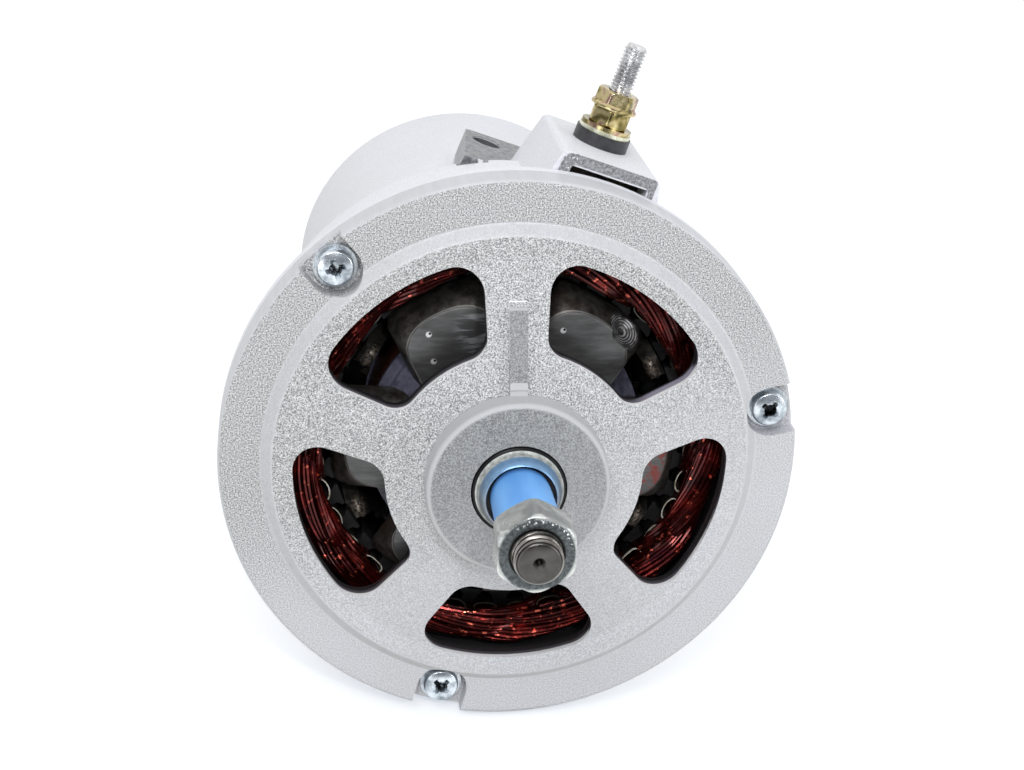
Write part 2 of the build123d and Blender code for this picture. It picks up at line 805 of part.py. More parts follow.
def field_bobbin():
    front, back = bobbin_ends()
    inner = core_r + seat_gap
    tread = inner + bobbin_wall
    bobbin = turned([
        (inner, front), (bobbin_flange_r, front), (bobbin_flange_r, front + bobbin_wall),
        (tread, front + bobbin_wall), (tread, back - bobbin_wall),
        (bobbin_flange_r, back - bobbin_wall), (bobbin_flange_r, back), (inner, back),
    ])
    passage = Pos(lead_pass_r, 0, 0) * rod(lead_r + 0.1, back - 3, back + 3)
    return bobbin - ring_of(passage, 2)


def field_coil():
    front, back = bobbin_ends()
    tread = core_r + seat_gap + bobbin_wall + seat_gap
    return tube(tread, coil_r, front + bobbin_wall, back - bobbin_wall)


def field_leads():
    _, back = bobbin_ends()
    path = [(lead_pass_r, back - bobbin_wall, 0), (lead_pass_r, rotor_back_y + 3, 0),
            (lead_run_r, rotor_back_y + 9, 0), (lead_run_r, ring_hub_front_y, 0)]
    return group(ring_of(wire(path, lead_r), 2))


def slip_ring_hub():
    lug = tube(rotor_seat_r + seat_gap, ring_hub_r, ring_hub_front_y, ring_hub_end_y)
    return lug


def slip_rings():
    return group([tube(ring_hub_r + seat_gap, ring_r, y, y + ring_width) for y in ring_front_ys])


def rotor_shaft():
    outline = [
        (0, front_tip_y), (front_thread_r - 1.1, front_tip_y), (front_thread_r, front_tip_y + 1.1),
        (front_thread_r, front_thread_end_y), (fan_seat_r, front_thread_end_y),
        (fan_seat_r, front_bearing_y), (rotor_seat_r, front_bearing_y),
        (rotor_seat_r, rear_seat_end_y), (rear_thread_r, rear_seat_end_y),
        (rear_thread_r, rear_tip_y - 1.2), (rear_thread_r - 1.2, rear_tip_y), (0, rear_tip_y),
    ]
    shaft = turned(outline)
    dimple = turned([(0, front_tip_y - 1), (dimple_r + 0.55, front_tip_y - 1),
                     (0.3, front_tip_y + 2.4), (0, front_tip_y + 2.4)])
    key_slot = block(key_floor_r, 12, key_front_y, key_front_y + key_length, -key_width / 2, key_width / 2)
    return shaft - dimple - around(key_slot, 90)


def fan_seat_sleeve():
    return tube(fan_seat_r + seat_gap, sleeve_r, front_thread_end_y, collar_front_y + collar_groove_depth)


def fan_collar():
    bore = fan_seat_r + seat_gap
    groove_y = collar_front_y + collar_groove_depth
    return turned([
        (bore, groove_y), (collar_groove_r, groove_y), (collar_groove_r, collar_front_y),
        (collar_r - collar_step, collar_front_y), (collar_r - collar_step, collar_front_y + collar_step_depth),
        (collar_r, collar_front_y + collar_step_depth), (collar_r, front_bearing_y), (bore, front_bearing_y),
    ])


def fan_nut():
    y0 = front_thread_end_y - fan_nut_height
    return hex_prism(fan_nut_af, y0, front_thread_end_y, 30, front_thread_r + thread_gap)


def pulley_spacer():
    return tube(rotor_seat_r + seat_gap, pulley_spacer_r, rear_bearing_y + bearing_width, pulley_spacer_end_y)


def pulley_key():
    key = block(key_floor_r, key_top_r, key_front_y, key_front_y + key_length, -key_width / 2, key_width / 2)
    return around(key, 90)


def pulley_nut():
    return hex_prism(pulley_nut_af, rear_seat_end_y, rear_seat_end_y + pulley_nut_height, 0,
                     rear_thread_r + thread_gap)


def brush_gap_y(front):
    """Middle of a slip ring."""
    return front + ring_width / 2


def brush(front):
    mid = brush_gap_y(front)
    inner = ring_r + brush_contact_gap
    body = block(inner - 1, inner + brush_length, mid - brush_half_y, mid + brush_half_y,
                 -brush_half_z, brush_half_z)
    return around(body - rod(inner, mid - 5, mid + 5), brush_angle)


def brush_spring(front):
    mid = brush_gap_y(front)
    start = ring_r + brush_contact_gap + brush_length
    length = holder_bore_end_d - start
    pitch = (length - 2 * spring_wire_r) / spring_turns
    path = Helix(pitch, pitch * spring_turns, spring_coil_r)
    coil = sweep(Plane(path @ 0, z_dir=path % 0) * RegularPolygon(spring_wire_r, 4), path=path, is_frenet=True)
    lying = Pos(start + spring_wire_r, mid, 0) * Rot(0, 90, 0) * coil
    return around(lying, brush_angle)


def brush_holder():
    body = block(holder_inner_d, holder_outer_d, holder_front_y, holder_end_y, -holder_half_z, holder_half_z)
    arm = block(37.0, holder_outer_d, holder_end_y - 1, rear_wall_y, -holder_half_z, holder_half_z)
    foot = block(27.0, 38.0, holder_foot_y, rear_wall_y, -holder_half_z, holder_half_z)
    holder = body + [arm, foot]
    for front in ring_front_ys:
        mid = brush_gap_y(front)
        gap = brush_slide_gap
        holder = holder - block(holder_inner_d - 1, holder_bore_end_d, mid - brush_half_y - gap,
                                mid + brush_half_y + gap, -brush_half_z - gap, brush_half_z + gap)
    for z in holder_screw_zs:
        holder = holder - Pos(holder_screw_d, 0, z) * rod(holder_screw_r + thread_gap, holder_foot_y - 1, rear_wall_y + 1)
    return around(holder, brush_angle)


def brush_holder_screws():
    screws = []
    for z in holder_screw_zs:
        head = holder_foot_y - holder_screw_head_height
        outline = [(0, head), (holder_screw_head_r, head), (holder_screw_head_r, holder_foot_y),
                   (holder_screw_r, holder_foot_y), (holder_screw_r, rear_wall_y + 7), (0, rear_wall_y + 7)]
        screws.append(around(Pos(holder_screw_d, 0, z) * turned(outline), brush_angle))
    return group(screws)


def regulator():
    case = block(regulator_inner_d, holder_outer_d - 0.8, regulator_front_y, holder_front_y,
                 -regulator_half_z, regulator_half_z)
    case = chamfer(case.edges().filter_by(Axis.Y), 1.5)
    return around(case, brush_angle)


def heat_sink(y):
    """Rectifier plate with holes for its diodes and bolts."""
    plate = tube(sink_inner_r, sink_outer_r, y, y + sink_thick)
    seat = Pos(diode_circle_r, 0, 0) * rod(diode_r + seat_gap, y - 1, y + sink_thick + 1)
    bolt = Pos(sink_bolt_circle_r, 0, 0) * rod(sink_bolt_r + thread_gap, y - 1, y + sink_thick + 1)
    return plate - ring_of(seat, 3, diode_first_angle) - ring_of(bolt, 3, pad_first_angle)


def earth_heat_sink():
    passage = Pos(lead_pass_d, 0, stud_offset) * rod(lead_pass_hole_r, pad_seat_y - 1, pad_seat_y + sink_thick + 1)
    return heat_sink(pad_seat_y) - around(passage, box_angle)


def live_heat_sink():
    return heat_sink(live_y)


def diode(base, pin_dir):
    """Press-fit diode: body through its plate, pin away from it."""
    far = base + pin_dir * (sink_thick + diode_body)
    tip = far + pin_dir * diode_pin
    low, high = sorted((base, far))
    body = rod(diode_r, low, high)
    pin = rod(diode_pin_r, *sorted((far, tip)))
    return Pos(diode_circle_r, 0, 0) * (body + pin)


def earth_diodes():
    return group(ring_of(diode(pad_seat_y + sink_thick, -1), 3, diode_first_angle))


def live_diodes():
    return group(ring_of(diode(live_y, 1), 3, diode_first_angle))


def diode_pin_tips():
    front = pad_seat_y - diode_body - diode_pin
    back = live_y + sink_thick + diode_body + diode_pin
    return front, back


def diode_links():
    """Wires that join each front diode pin to the one behind it."""
    front, back = diode_pin_tips()
    r = phase_wire_r
    path = [(diode_circle_r + r, front - r, 0), (link_run_r, front - r, 0),
            (link_run_r, back + r, 0), (diode_circle_r + r, back + r, 0)]
    return group(ring_of(wire(path, r), 3, diode_first_angle))


def stator_leads():
    """Phase wires from the rear end turns to the diode pins."""
    front, _ = diode_pin_tips()
    r = phase_wire_r
    beside = turns_inner_r - r - seat_gap
    in_bore = min(barrel_bore_r, turns_inner_r) - r - lead_wall_gap
    path = [(beside, turns_back_y - 4, 0), (in_bore, shoulder_inner_y - 0.6, 0),
            (in_bore, rotor_back_y + 2, 0), (diode_circle_r + 2 * r + seat_gap, front - r, 0)]
    return group(ring_of(wire(path, r), 3, diode_first_angle))


def heat_sink_spacers():
    y0 = pad_seat_y + sink_thick
    ring = tube(sink_bolt_r + thread_gap, sink_spacer_r, y0, live_y)
    cap_y = live_y + sink_thick
    cap = tube(sink_bolt_r + thread_gap, sink_spacer_r, cap_y, cap_y + sink_cap_thick)
    pair = Pos(sink_bolt_circle_r, 0, 0) * Compound(children=[ring, cap])
    return group(ring_of(pair, 3, pad_first_angle))


def heat_sink_bolts():
    head = live_y + sink_thick + sink_cap_thick
    outline = [(0, pad_front_y + 1), (sink_bolt_r, pad_front_y + 1), (sink_bolt_r, head),
               (sink_bolt_head_r, head), (sink_bolt_head_r, head + sink_bolt_head_height),
               (0, head + sink_bolt_head_height)]
    return group(ring_of(Pos(sink_bolt_circle_r, 0, 0) * turned(outline), 3, pad_first_angle))


def output_lead():
    return around(wire(lead_path(), output_lead_r), box_angle)


def stud_bolt():
    head_top = stud_places["head_top"]
    head = hex_prism(stud_head_af, head_top - stud_head_height, head_top)
    shank = turned([(0, head_top - 1), (stud_r, head_top - 1), (stud_r, stud_tip_d - stud_tip_chamfer),
                    (stud_r - stud_tip_chamfer, stud_tip_d), (0, stud_tip_d)])
    return on_stud(head + shank)


def stud_inner_insulator():
    bore = stud_r + thread_gap
    return on_stud(turned([
        (bore, stud_places["head_top"]), (inner_insulator_r, stud_places["head_top"]),
        (inner_insulator_r, slot_top_d), (stud_bush_r, slot_top_d),
        (stud_bush_r, box_top_d), (bore, box_top_d),
    ]))


def stud_outer_insulator():
    return on_stud(tube(stud_r + thread_gap, outer_insulator_r, box_top_d, stud_places["pale"]))


def stud_pale_washer():
    return on_stud(tube(stud_r + thread_gap, pale_washer_r, stud_places["pale"], stud_places["yellow"]))


def stud_yellow_washer():
    return on_stud(tube(stud_r + thread_gap, yellow_washer_r, stud_places["yellow"], stud_places["lower_nut"]))


def stud_lower_nut():
    return on_stud(hex_prism(stud_nut_af, stud_places["lower_nut"], stud_places["flange_nut"], 0,
                             stud_r + thread_gap))


def stud_flange_nut():
    y0 = stud_places["flange_nut"]
    bore = stud_r + thread_gap
    rim = turned([(bore, y0), (flange_nut_rim_r, y0), (flange_nut_rim_r, y0 + flange_nut_rim_height * 0.5),
                  (stud_nut_af / 2, y0 + flange_nut_rim_height * 1.4), (bore, y0 + flange_nut_rim_height * 1.4)])
    body = hex_prism(stud_nut_af, y0 + 0.2, stud_places["top"], 0, bore, (False, True))
    return on_stud(rim + body)


def blade_block(front_y, length, slack=0.0):
    """Space of one terminal blade, or of the slit that holds it."""
    low = blade_bottom_d - slack
    half = blade_half_width + slack
    return [block(low, low + blade_thick + 2 * slack, front_y, front_y + length, z - half, z + half)
            for z in blade_zs]


def terminal_block():
    """Moulded block behind the slot that carries the two small terminals."""
    half = slot_half_width - block_gap
    body = block(box_room_floor_d, slot_top_d - block_gap, block_front_y, block_front_y + block_thick, -half, half)
    return around(body - blade_block(block_front_y - 1, block_thick + 2, blade_seat_gap), box_angle)


def terminal_blades():
    return group([around(blade, box_angle) for blade in blade_block(blade_front_y, blade_length)])


def export_all():
    os.makedirs("parts", exist_ok=True)
    nodes = {
        "front_end_shield": front_end_shield(),
        "housing": housing(),
        "cover_screws": cover_screws(),
        "cover_screw_washers": cover_screw_washers(),
        "front_bearing_outer_ring": bearing_outer_ring(front_bearing_y),
        "front_bearing_inner_ring": bearing_inner_ring(front_bearing_y),
        "front_bearing_balls": bearing_balls(front_bearing_y),
        "front_bearing_cage": bearing_cage(front_bearing_y),
        "bearing_retainer_plate": bearing_retainer_plate(),
        "retainer_screws": retainer_screws(),
        "rear_bearing_outer_ring": bearing_outer_ring(rear_bearing_y),
        "rear_bearing_inner_ring": bearing_inner_ring(rear_bearing_y),
        "rear_bearing_balls": bearing_balls(rear_bearing_y),
        "rear_bearing_cage": bearing_cage(rear_bearing_y),
        "stator_core": stator_core(),
        "slot_liners": slot_liners(),
        "stator_windings": stator_windings(),
        "stator_leads": stator_leads(),
        "front_claw_pole": claw_pole(True),
        "rear_claw_pole": rear_claw_pole(),
        "field_bobbin": field_bobbin(),
        "field_coil": field_coil(),
        "field_leads": field_leads(),
        "slip_ring_hub": slip_ring_hub(),
        "slip_rings": slip_rings(),
        "rotor_shaft": rotor_shaft(),
        "fan_seat_sleeve": fan_seat_sleeve(),
        "fan_collar": fan_collar(),
        "fan_nut": fan_nut(),
        "pulley_spacer": pulley_spacer(),
        "pulley_key": pulley_key(),
        "pulley_nut": pulley_nut(),
        "brush_a": brush(ring_front_ys[0]),
        "brush_b": brush(ring_front_ys[1]),
        "brush_spring_a": brush_spring(ring_front_ys[0]),
        "brush_spring_b": brush_spring(ring_front_ys[1]),
        "brush_holder": brush_holder(),
        "brush_holder_screws": brush_holder_screws(),
        "regulator": regulator(),
        "earth_heat_sink": earth_heat_sink(),
        "live_heat_sink": live_heat_sink(),
        "earth_diodes": earth_diodes(),
        "live_diodes": live_diodes(),
        "diode_links": diode_links(),
        "heat_sink_spacers": heat_sink_spacers(),
        "heat_sink_bolts": heat_sink_bolts(),
        "output_lead": output_lead(),
        "stud_bolt": stud_bolt(),
        "stud_inner_insulator": stud_inner_insulator(),
        "stud_outer_insulator": stud_outer_insulator(),
        "stud_pale_washer": stud_pale_washer(),
        "stud_yellow_washer": stud_yellow_washer(),
        "stud_lower_nut": stud_lower_nut(),
        "stud_flange_nut": stud_flange_nut(),
        "terminal_block": terminal_block(),
        "terminal_blades": terminal_blades(),
    }
    for name, shape in nodes.items():
        export_step(shape, f"parts/{name}.step")


export_all()
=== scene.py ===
import json
import random
from math import atan2, cos, degrees, hypot, pi, radians, sin, sqrt

import bmesh
import bpy
from mathutils import Matrix, Vector


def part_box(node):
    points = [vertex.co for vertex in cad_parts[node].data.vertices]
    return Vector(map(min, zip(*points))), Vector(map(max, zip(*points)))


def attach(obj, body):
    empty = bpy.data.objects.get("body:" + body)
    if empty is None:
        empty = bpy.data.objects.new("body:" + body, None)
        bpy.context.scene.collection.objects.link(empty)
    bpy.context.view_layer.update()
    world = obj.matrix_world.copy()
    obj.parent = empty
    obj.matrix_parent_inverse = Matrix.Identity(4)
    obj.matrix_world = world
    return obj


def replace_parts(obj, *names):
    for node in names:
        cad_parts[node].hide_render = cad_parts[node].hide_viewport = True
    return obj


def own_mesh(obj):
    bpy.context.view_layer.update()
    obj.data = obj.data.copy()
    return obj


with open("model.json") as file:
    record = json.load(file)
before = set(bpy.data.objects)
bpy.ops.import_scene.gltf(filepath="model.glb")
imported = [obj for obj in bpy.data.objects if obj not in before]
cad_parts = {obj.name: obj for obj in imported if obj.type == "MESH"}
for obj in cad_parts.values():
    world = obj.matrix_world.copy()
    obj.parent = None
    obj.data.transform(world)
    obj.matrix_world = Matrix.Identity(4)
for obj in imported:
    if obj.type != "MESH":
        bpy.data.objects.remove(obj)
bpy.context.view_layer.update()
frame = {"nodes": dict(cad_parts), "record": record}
nodes = frame["nodes"]
mounts = {m["name"]: m for m in frame["record"]["mounts"]}
finishes = {}
MM = 0.001
ACROSS, SHAFT, UP = (1, 0, 0), (0, 1, 0), (0, 0, 1)

# The shaft lies on Y with its fan end toward -Y. Angles count from +X toward +Z.
# Lengths are millimetres, and materials work in the object's own metres.


# --- places read from the frame ---

def node_points(node):
    return [v.co / MM for v in nodes[node].data.vertices]


def ring_span(node):
    """Least and greatest radius, and front and back, of a node about the shaft."""
    points = node_points(node)
    radii = [hypot(p.x, p.z) for p in points]
    ys = [p.y for p in points]
    return min(radii), max(radii), min(ys), max(ys)


def span_along(node, direction):
    reach = [p.dot(direction) for p in node_points(node)]
    return min(reach), max(reach)


def polar(radius, angle, y):
    return Vector((radius * cos(radians(angle)), y, radius * sin(radians(angle))))


def centres_round_shaft(node, count):
    """Middle angle of each of a node's separate copies round the shaft."""
    angles = sorted(degrees(atan2(p.z, p.x)) % 360 for p in node_points(node))
    steps = [((b - a) % 360, i) for i, (a, b) in enumerate(zip(angles, angles[1:] + angles[:1]))]
    cuts = sorted(i for _, i in sorted(steps)[-count:])
    middles = []
    for first, last in zip(cuts, cuts[1:] + cuts[:1]):
        start = angles[(first + 1) % len(angles)]
        middles.append((start + ((angles[last] - start) % 360) / 2) % 360)
    return middles


stud_axis = Vector(mounts["output_stud"]["axis"]).normalized()
stud_point = Vector(mounts["output_stud"]["pos_m"]) / MM
stud_foot = stud_point - stud_axis * stud_point.dot(stud_axis)
box_side = stud_axis.cross(Vector((0, 1, 0)))


# --- mesh making ---

def put(name, data):
    """A new object in the scene."""
    made = bpy.data.objects.new(name, data)
    bpy.context.scene.collection.objects.link(made)
    return made


def piece(name, verts, faces, body, slot, matrix=None, sharp=35.0):
    """A smooth-shaded mesh, given in millimetres, that rides on a body."""
    mesh = bpy.data.meshes.new(name)
    mesh.from_pydata([Vector(v) for v in verts], [], faces)
    mesh.transform(Matrix.Scale(MM, 4) @ (matrix or Matrix.Identity(4)))
    work = bmesh.new()
    work.from_mesh(mesh)
    bmesh.ops.remove_doubles(work, verts=work.verts, dist=1e-7)
    bmesh.ops.recalc_face_normals(work, faces=work.faces)
    work.to_mesh(mesh)
    work.free()
    mesh.shade_smooth()
    mesh.set_sharp_from_angle(angle=radians(sharp))
    made = put(name, mesh)
    mesh.materials.append(finishes[slot])
    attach(made, body)
    return made


def lathe(rows, segments, shape=None):
    """Rows of (radius, y) turned about Y. shape(radius, y, angle) may change the radius."""
    verts, rings = [], []
    for radius, y in rows:
        if radius < 1e-6:
            rings.append([len(verts)])
            verts.append((0, y, 0))
            continue
        rings.append(list(range(len(verts), len(verts) + segments)))
        for i in range(segments):
            angle = 2 * pi * i / segments
            r = shape(radius, y, angle) if shape else radius
            verts.append((r * cos(angle), y, r * sin(angle)))
    faces = []
    for low, high in zip(rings, rings[1:]):
        for i in range(segments):
            j = (i + 1) % segments
            loop = [low[i % len(low)], low[j % len(low)], high[j % len(high)], high[i % len(high)]]
            loop = [v for k, v in enumerate(loop) if v not in loop[:k]]
            if len(loop) > 2:
                faces.append(loop)
    return verts, faces


def closed(rows):
    """Rows of a ring's section, with the first repeated to close it."""
    return rows + rows[:1]


def steps_between(start, end, step):
    count = max(1, round(abs(end - start) / step))
    return [start + (end - start) * i / count for i in range(count + 1)]


def thread_depth(y, angle, pitch, depth):
    """How deep a single-start thread lies below its crest: a rounded V."""
    phase = (y / pitch - angle / (2 * pi)) % 1.0
    valley = 1 - abs(2 * phase - 1)
    return depth * min(1.0, max(0.0, 1.25 * valley - 0.12))


def hex_radius(across_flats, angle, corner_round):
    """Radius of a hexagon with softened corners."""
    sector = (angle + pi / 6) % (pi / 3) - pi / 6
    flat = across_flats / 2 / cos(sector)
    corner = across_flats / 2 / cos(pi / 6)
    return min(flat, corner - corner_round * (1 - abs(sector) / (pi / 6) * 0.4))


def turn_to(axis, foot):
    """Stands a piece made about Y on another axis through a foot point."""
    return Matrix.Translation(foot) @ Vector(SHAFT).rotation_difference(axis).to_matrix().to_4x4()


def grid_faces(rows, width, start=0, wrap=False):
    """Quads of a grid of points stored row by row; wrap joins the ends of each row."""
    faces = []
    for row in range(rows - 1):
        for i in range(width if wrap else width - 1):
            a, b = start + row * width + i, start + row * width + (i + 1) % width
            faces.append([a, b, b + width, a + width])
    return faces


def placed(angle, sections):
    """Points of sections (y, [(outward, sideways)]) turned to an angle round the shaft."""
    turned = radians(angle)
    outward = Vector((cos(turned), 0, sin(turned)))
    sideways = Vector((-sin(turned), 0, cos(turned)))
    return [outward * u + sideways * v + Vector((0, y, 0)) for y, loop in sections for u, v in loop]


def tube_along(points, radius, sides):
    """Verts and faces of a round tube through points, ends open."""
    verts = []
    side = Vector(SHAFT)
    for i, point in enumerate(points):
        run = (points[min(i + 1, len(points) - 1)] - points[max(i - 1, 0)]).normalized()
        side = (side - run * side.dot(run)).normalized()
        other = run.cross(side)
        for k in range(sides):
            turn = 2 * pi * k / sides
            verts.append(point + (side * cos(turn) + other * sin(turn)) * radius)
    return verts, grid_faces(len(points), sides, wrap=True)


def merged(parts):
    verts, faces = [], []
    for some_verts, some_faces in parts:
        start = len(verts)
        verts += some_verts
        faces += [[start + v for v in face] for face in some_faces]
    return verts, faces


# --- places that the finishes and the pieces share ---

shield_rim_r = ring_span("front_end_shield")[1]
step_foot_r, step_top_r = 61.9, 64.4        # turned step behind the coned face
skirt_inner_r = 63.3
band_y, cone_slope = -2.5, 0.245            # coned face: its y at the windows' outer edge
window_inner_r, window_outer_r = 33.2, 56.4
boss_r, boss_front_y, shaft_hole_r = 24.3, -17.7, 12.35
rib_end_r = 46.3
barrel_r, barrel_end_y, bell_front_y = 52.5, 163.5, 13.0
lug_top_reach = 63.0                        # reach: distance along the stud's axis
box_front_y, slot_top_reach = 13.2, 76.8
groove_r = 8.8
collar_r = ring_span("fan_collar")[1]
nut_front_y = ring_span("fan_nut")[2]
thread_wave = 2 * pi / (0.95 * MM)
rotor_front_y = ring_span("front_claw_pole")[2]
film_front_y = 13.3
screw_circle_r = 69.17
screw_top_y = ring_span("cover_screws")[2] + 0.35
screw_angles = centres_round_shaft("cover_screws", 3)
screw_centres = [polar(screw_circle_r, angle, screw_top_y + 1.1) for angle in screw_angles]
dimple_angle = 46.8
dimple_place = polar(43.4, dimple_angle, 10.8)
dimple_axis = (polar(1.0, dimple_angle, 0.0) * 0.72 + Vector((0, -0.69, 0))).normalized()
dimple_turn = Vector((0, -1, 0)).rotation_difference(dimple_axis).to_matrix()
# Direction of the painted reflection in the drilled balance mark.
dimple_beam = Vector((0.60, 0.68, 0.42)).normalized()
# Places on the claw faces of small marks that get a painted highlight and a painted shadow.
face_marks = [polar(r, angle, rotor_front_y) for r, angle in ((39.1, 122.8), (32.3, 127.9), (36.0, 68.0))]


# --- materials ---

class Graph:
    """Short ways to build a node tree, with a place to measure from."""

    def __init__(self, tree, coordinates="Object"):
        self.tree = tree
        self.place = tree.nodes.new("ShaderNodeTexCoord").outputs[coordinates]

    def add(self, kind, inputs=(), **settings):
        node = self.tree.nodes.new(kind)
        for key, value in settings.items():
            setattr(node, key, value)
        for key, value in dict(inputs).items():
            self.feed(node.inputs[key], value)
        return node

    def feed(self, socket, value):
        if isinstance(value, bpy.types.NodeSocket):
            self.tree.links.new(value, socket)
        else:
            socket.default_value = value

    def math(self, operation, a, b=0.0, c=0.0):
        node = self.add("ShaderNodeMath", {0: a, 1: b, 2: c}, operation=operation)
        return node.outputs[0]

    def scaled(self, stretch):
        return self.add("ShaderNodeMapping", {"Vector": self.place, "Scale": stretch}).outputs[0]

    def noise(self, scale, detail=2.0, roughness=0.5, where=None, distortion=0.0):
        node = self.add("ShaderNodeTexNoise", {"Vector": where or self.place, "Scale": scale,
                        "Detail": detail, "Roughness": roughness, "Distortion": distortion})
        return node.outputs["Fac"]

    def cells(self, scale):
        node = self.add("ShaderNodeTexVoronoi", {"Vector": self.place, "Scale": scale}, feature="F1")
        return node.outputs["Distance"]

    def window(self, value, low, high):
        """0 below low, 1 above high, smooth between; reversed if low is above high."""
        node = self.add("ShaderNodeMapRange", {"Value": value, "From Min": low, "From Max": high},
                        interpolation_type="SMOOTHSTEP")
        return node.outputs[0]

    def past(self, value, low_mm, high_mm):
        """The same window on a length in metres, with its marks in millimetres."""
        return self.window(value, low_mm * MM, high_mm * MM)

    def flip(self, mask):
        return self.math("SUBTRACT", 1.0, mask)

    def span(self, value, low, high, start, end):
        node = self.add("ShaderNodeMapRange", {"Value": value, "From Min": low, "From Max": high,
                        "To Min": start, "To Max": end})
        return node.outputs[0]

    def gloss(self, value, start, end):
        """Roughness that follows the middle part of a noise."""
        return self.span(value, 0.3, 0.7, start, end)

    def mix(self, factor, a, b):
        node = self.add("ShaderNodeMix", {0: factor, 6: colour(a), 7: colour(b)}, data_type="RGBA")
        return node.outputs[2]

    def tint(self, value, low, high, dark, light):
        """Dark where the value is under its window, light where it is over it."""
        return self.mix(self.window(value, low, high), dark, light)

    def paint(self, ground, *coats):
        """A ground colour under coats of (mask, colour), the last on top."""
        for mask, shade in coats:
            ground = self.mix(mask, ground, shade)
        return ground

    def ramp(self, value, stops):
        node = self.add("ShaderNodeValToRGB", {"Fac": value})
        line = node.color_ramp
        while len(line.elements) < len(stops):
            line.elements.new(0.5)
        for element, (position, shade) in zip(line.elements, stops):
            element.position = position
            element.color = colour(shade)
        return node.outputs["Color"]

    def facing(self, direction, signed=False):
        """Cosine between the true surface normal and a direction, as a rule without its sign."""
        place = self.add("ShaderNodeNewGeometry")
        node = self.add("ShaderNodeVectorMath", {0: place.outputs["True Normal"], 1: direction},
                        operation="DOT_PRODUCT")
        return node.outputs["Value"] if signed else self.math("ABSOLUTE", node.outputs["Value"])

    def near(self, point, reach, edge):
        """1 within a reach of a point in millimetres, 0 farther off."""
        return self.past(self.far_from(point), reach + edge, reach - edge)

    def far_from(self, point):
        """Distance in metres from a point given in millimetres."""
        node = self.add("ShaderNodeVectorMath", {0: self.place, 1: Vector(point) * MM}, operation="DISTANCE")
        return node.outputs["Value"]

    def pick(self, mask, a, b):
        """A number that is a where the mask is 0 and b where it is 1."""
        return self.add("ShaderNodeMix", {0: mask, 2: a, 3: b}).outputs[0]

    def along(self, direction):
        """Distance in metres along a direction from the origin."""
        node = self.add("ShaderNodeVectorMath", {0: self.place, 1: direction}, operation="DOT_PRODUCT")
        return node.outputs["Value"]

    def radius(self):
        """Distance in metres from the shaft axis."""
        x, z = self.along(ACROSS), self.along(UP)
        return self.math("SQRT", self.math("ADD", self.both(x, x), self.both(z, z)))

    def both(self, first, *rest):
        """Product of masks or numbers."""
        for mask in rest:
            first = self.math("MULTIPLY", first, mask)
        return first

    def inside(self, value, low_mm, high_mm, soft_mm=0.15):
        """1 where a length in metres lies between two marks."""
        return self.both(self.past(value, low_mm - soft_mm, low_mm), self.past(value, high_mm + soft_mm, high_mm))


class Finish(Graph):
    """A node material under construction."""

    def __init__(self, name):
        self.name = name
        self.material = bpy.data.materials.new(name)
        self.material.use_nodes = True
        super().__init__(self.material.node_tree)

    def done(self, base, metallic, roughness, *heights, **coat):
        """Sets the shader, with bumps from (height, distance in mm) pairs, and keeps the finish."""
        surface = self.tree.nodes["Principled BSDF"].inputs
        values = {"Base Color": base, "Metallic": metallic, "Roughness": roughness}
        values.update({key.replace("_", " "): value for key, value in coat.items()})
        for key, value in values.items():
            self.feed(surface[key], value)
        below = {}
        for height, distance in heights:
            node = self.add("ShaderNodeBump", {"Height": height, "Distance": distance * MM, "Strength": 1.0, **below})
            below = {"Normal": node.outputs["Normal"]}
        self.feed(surface["Normal"], below["Normal"])
        finishes[self.name] = self.material


def colour(value):
    """Grey number or RGB triple as RGBA; sockets pass through."""
    if isinstance(value, bpy.types.NodeSocket):
        return value
    if isinstance(value, (int, float)):
        return (value, value, value, 1.0)
    return (*value, 1.0) if len(value) == 3 else tuple(value)


def plain_finish(name, dark, light, metallic, rough):
    """Grain over soft blotches: the ground of every finish that has no special one."""
    f = Finish(name)
    fine = f.noise(600, 2.0, 0.6)
    tone = f.math("ADD", f.both(f.noise(60, 3.0, 0.55), 0.6), f.both(fine, 0.4))
    f.done(f.tint(tone, 0.35, 0.65, dark, light), metallic, f.gloss(tone, rough * 0.8, min(1.0, rough * 1.25)),
           (fine, 0.01))


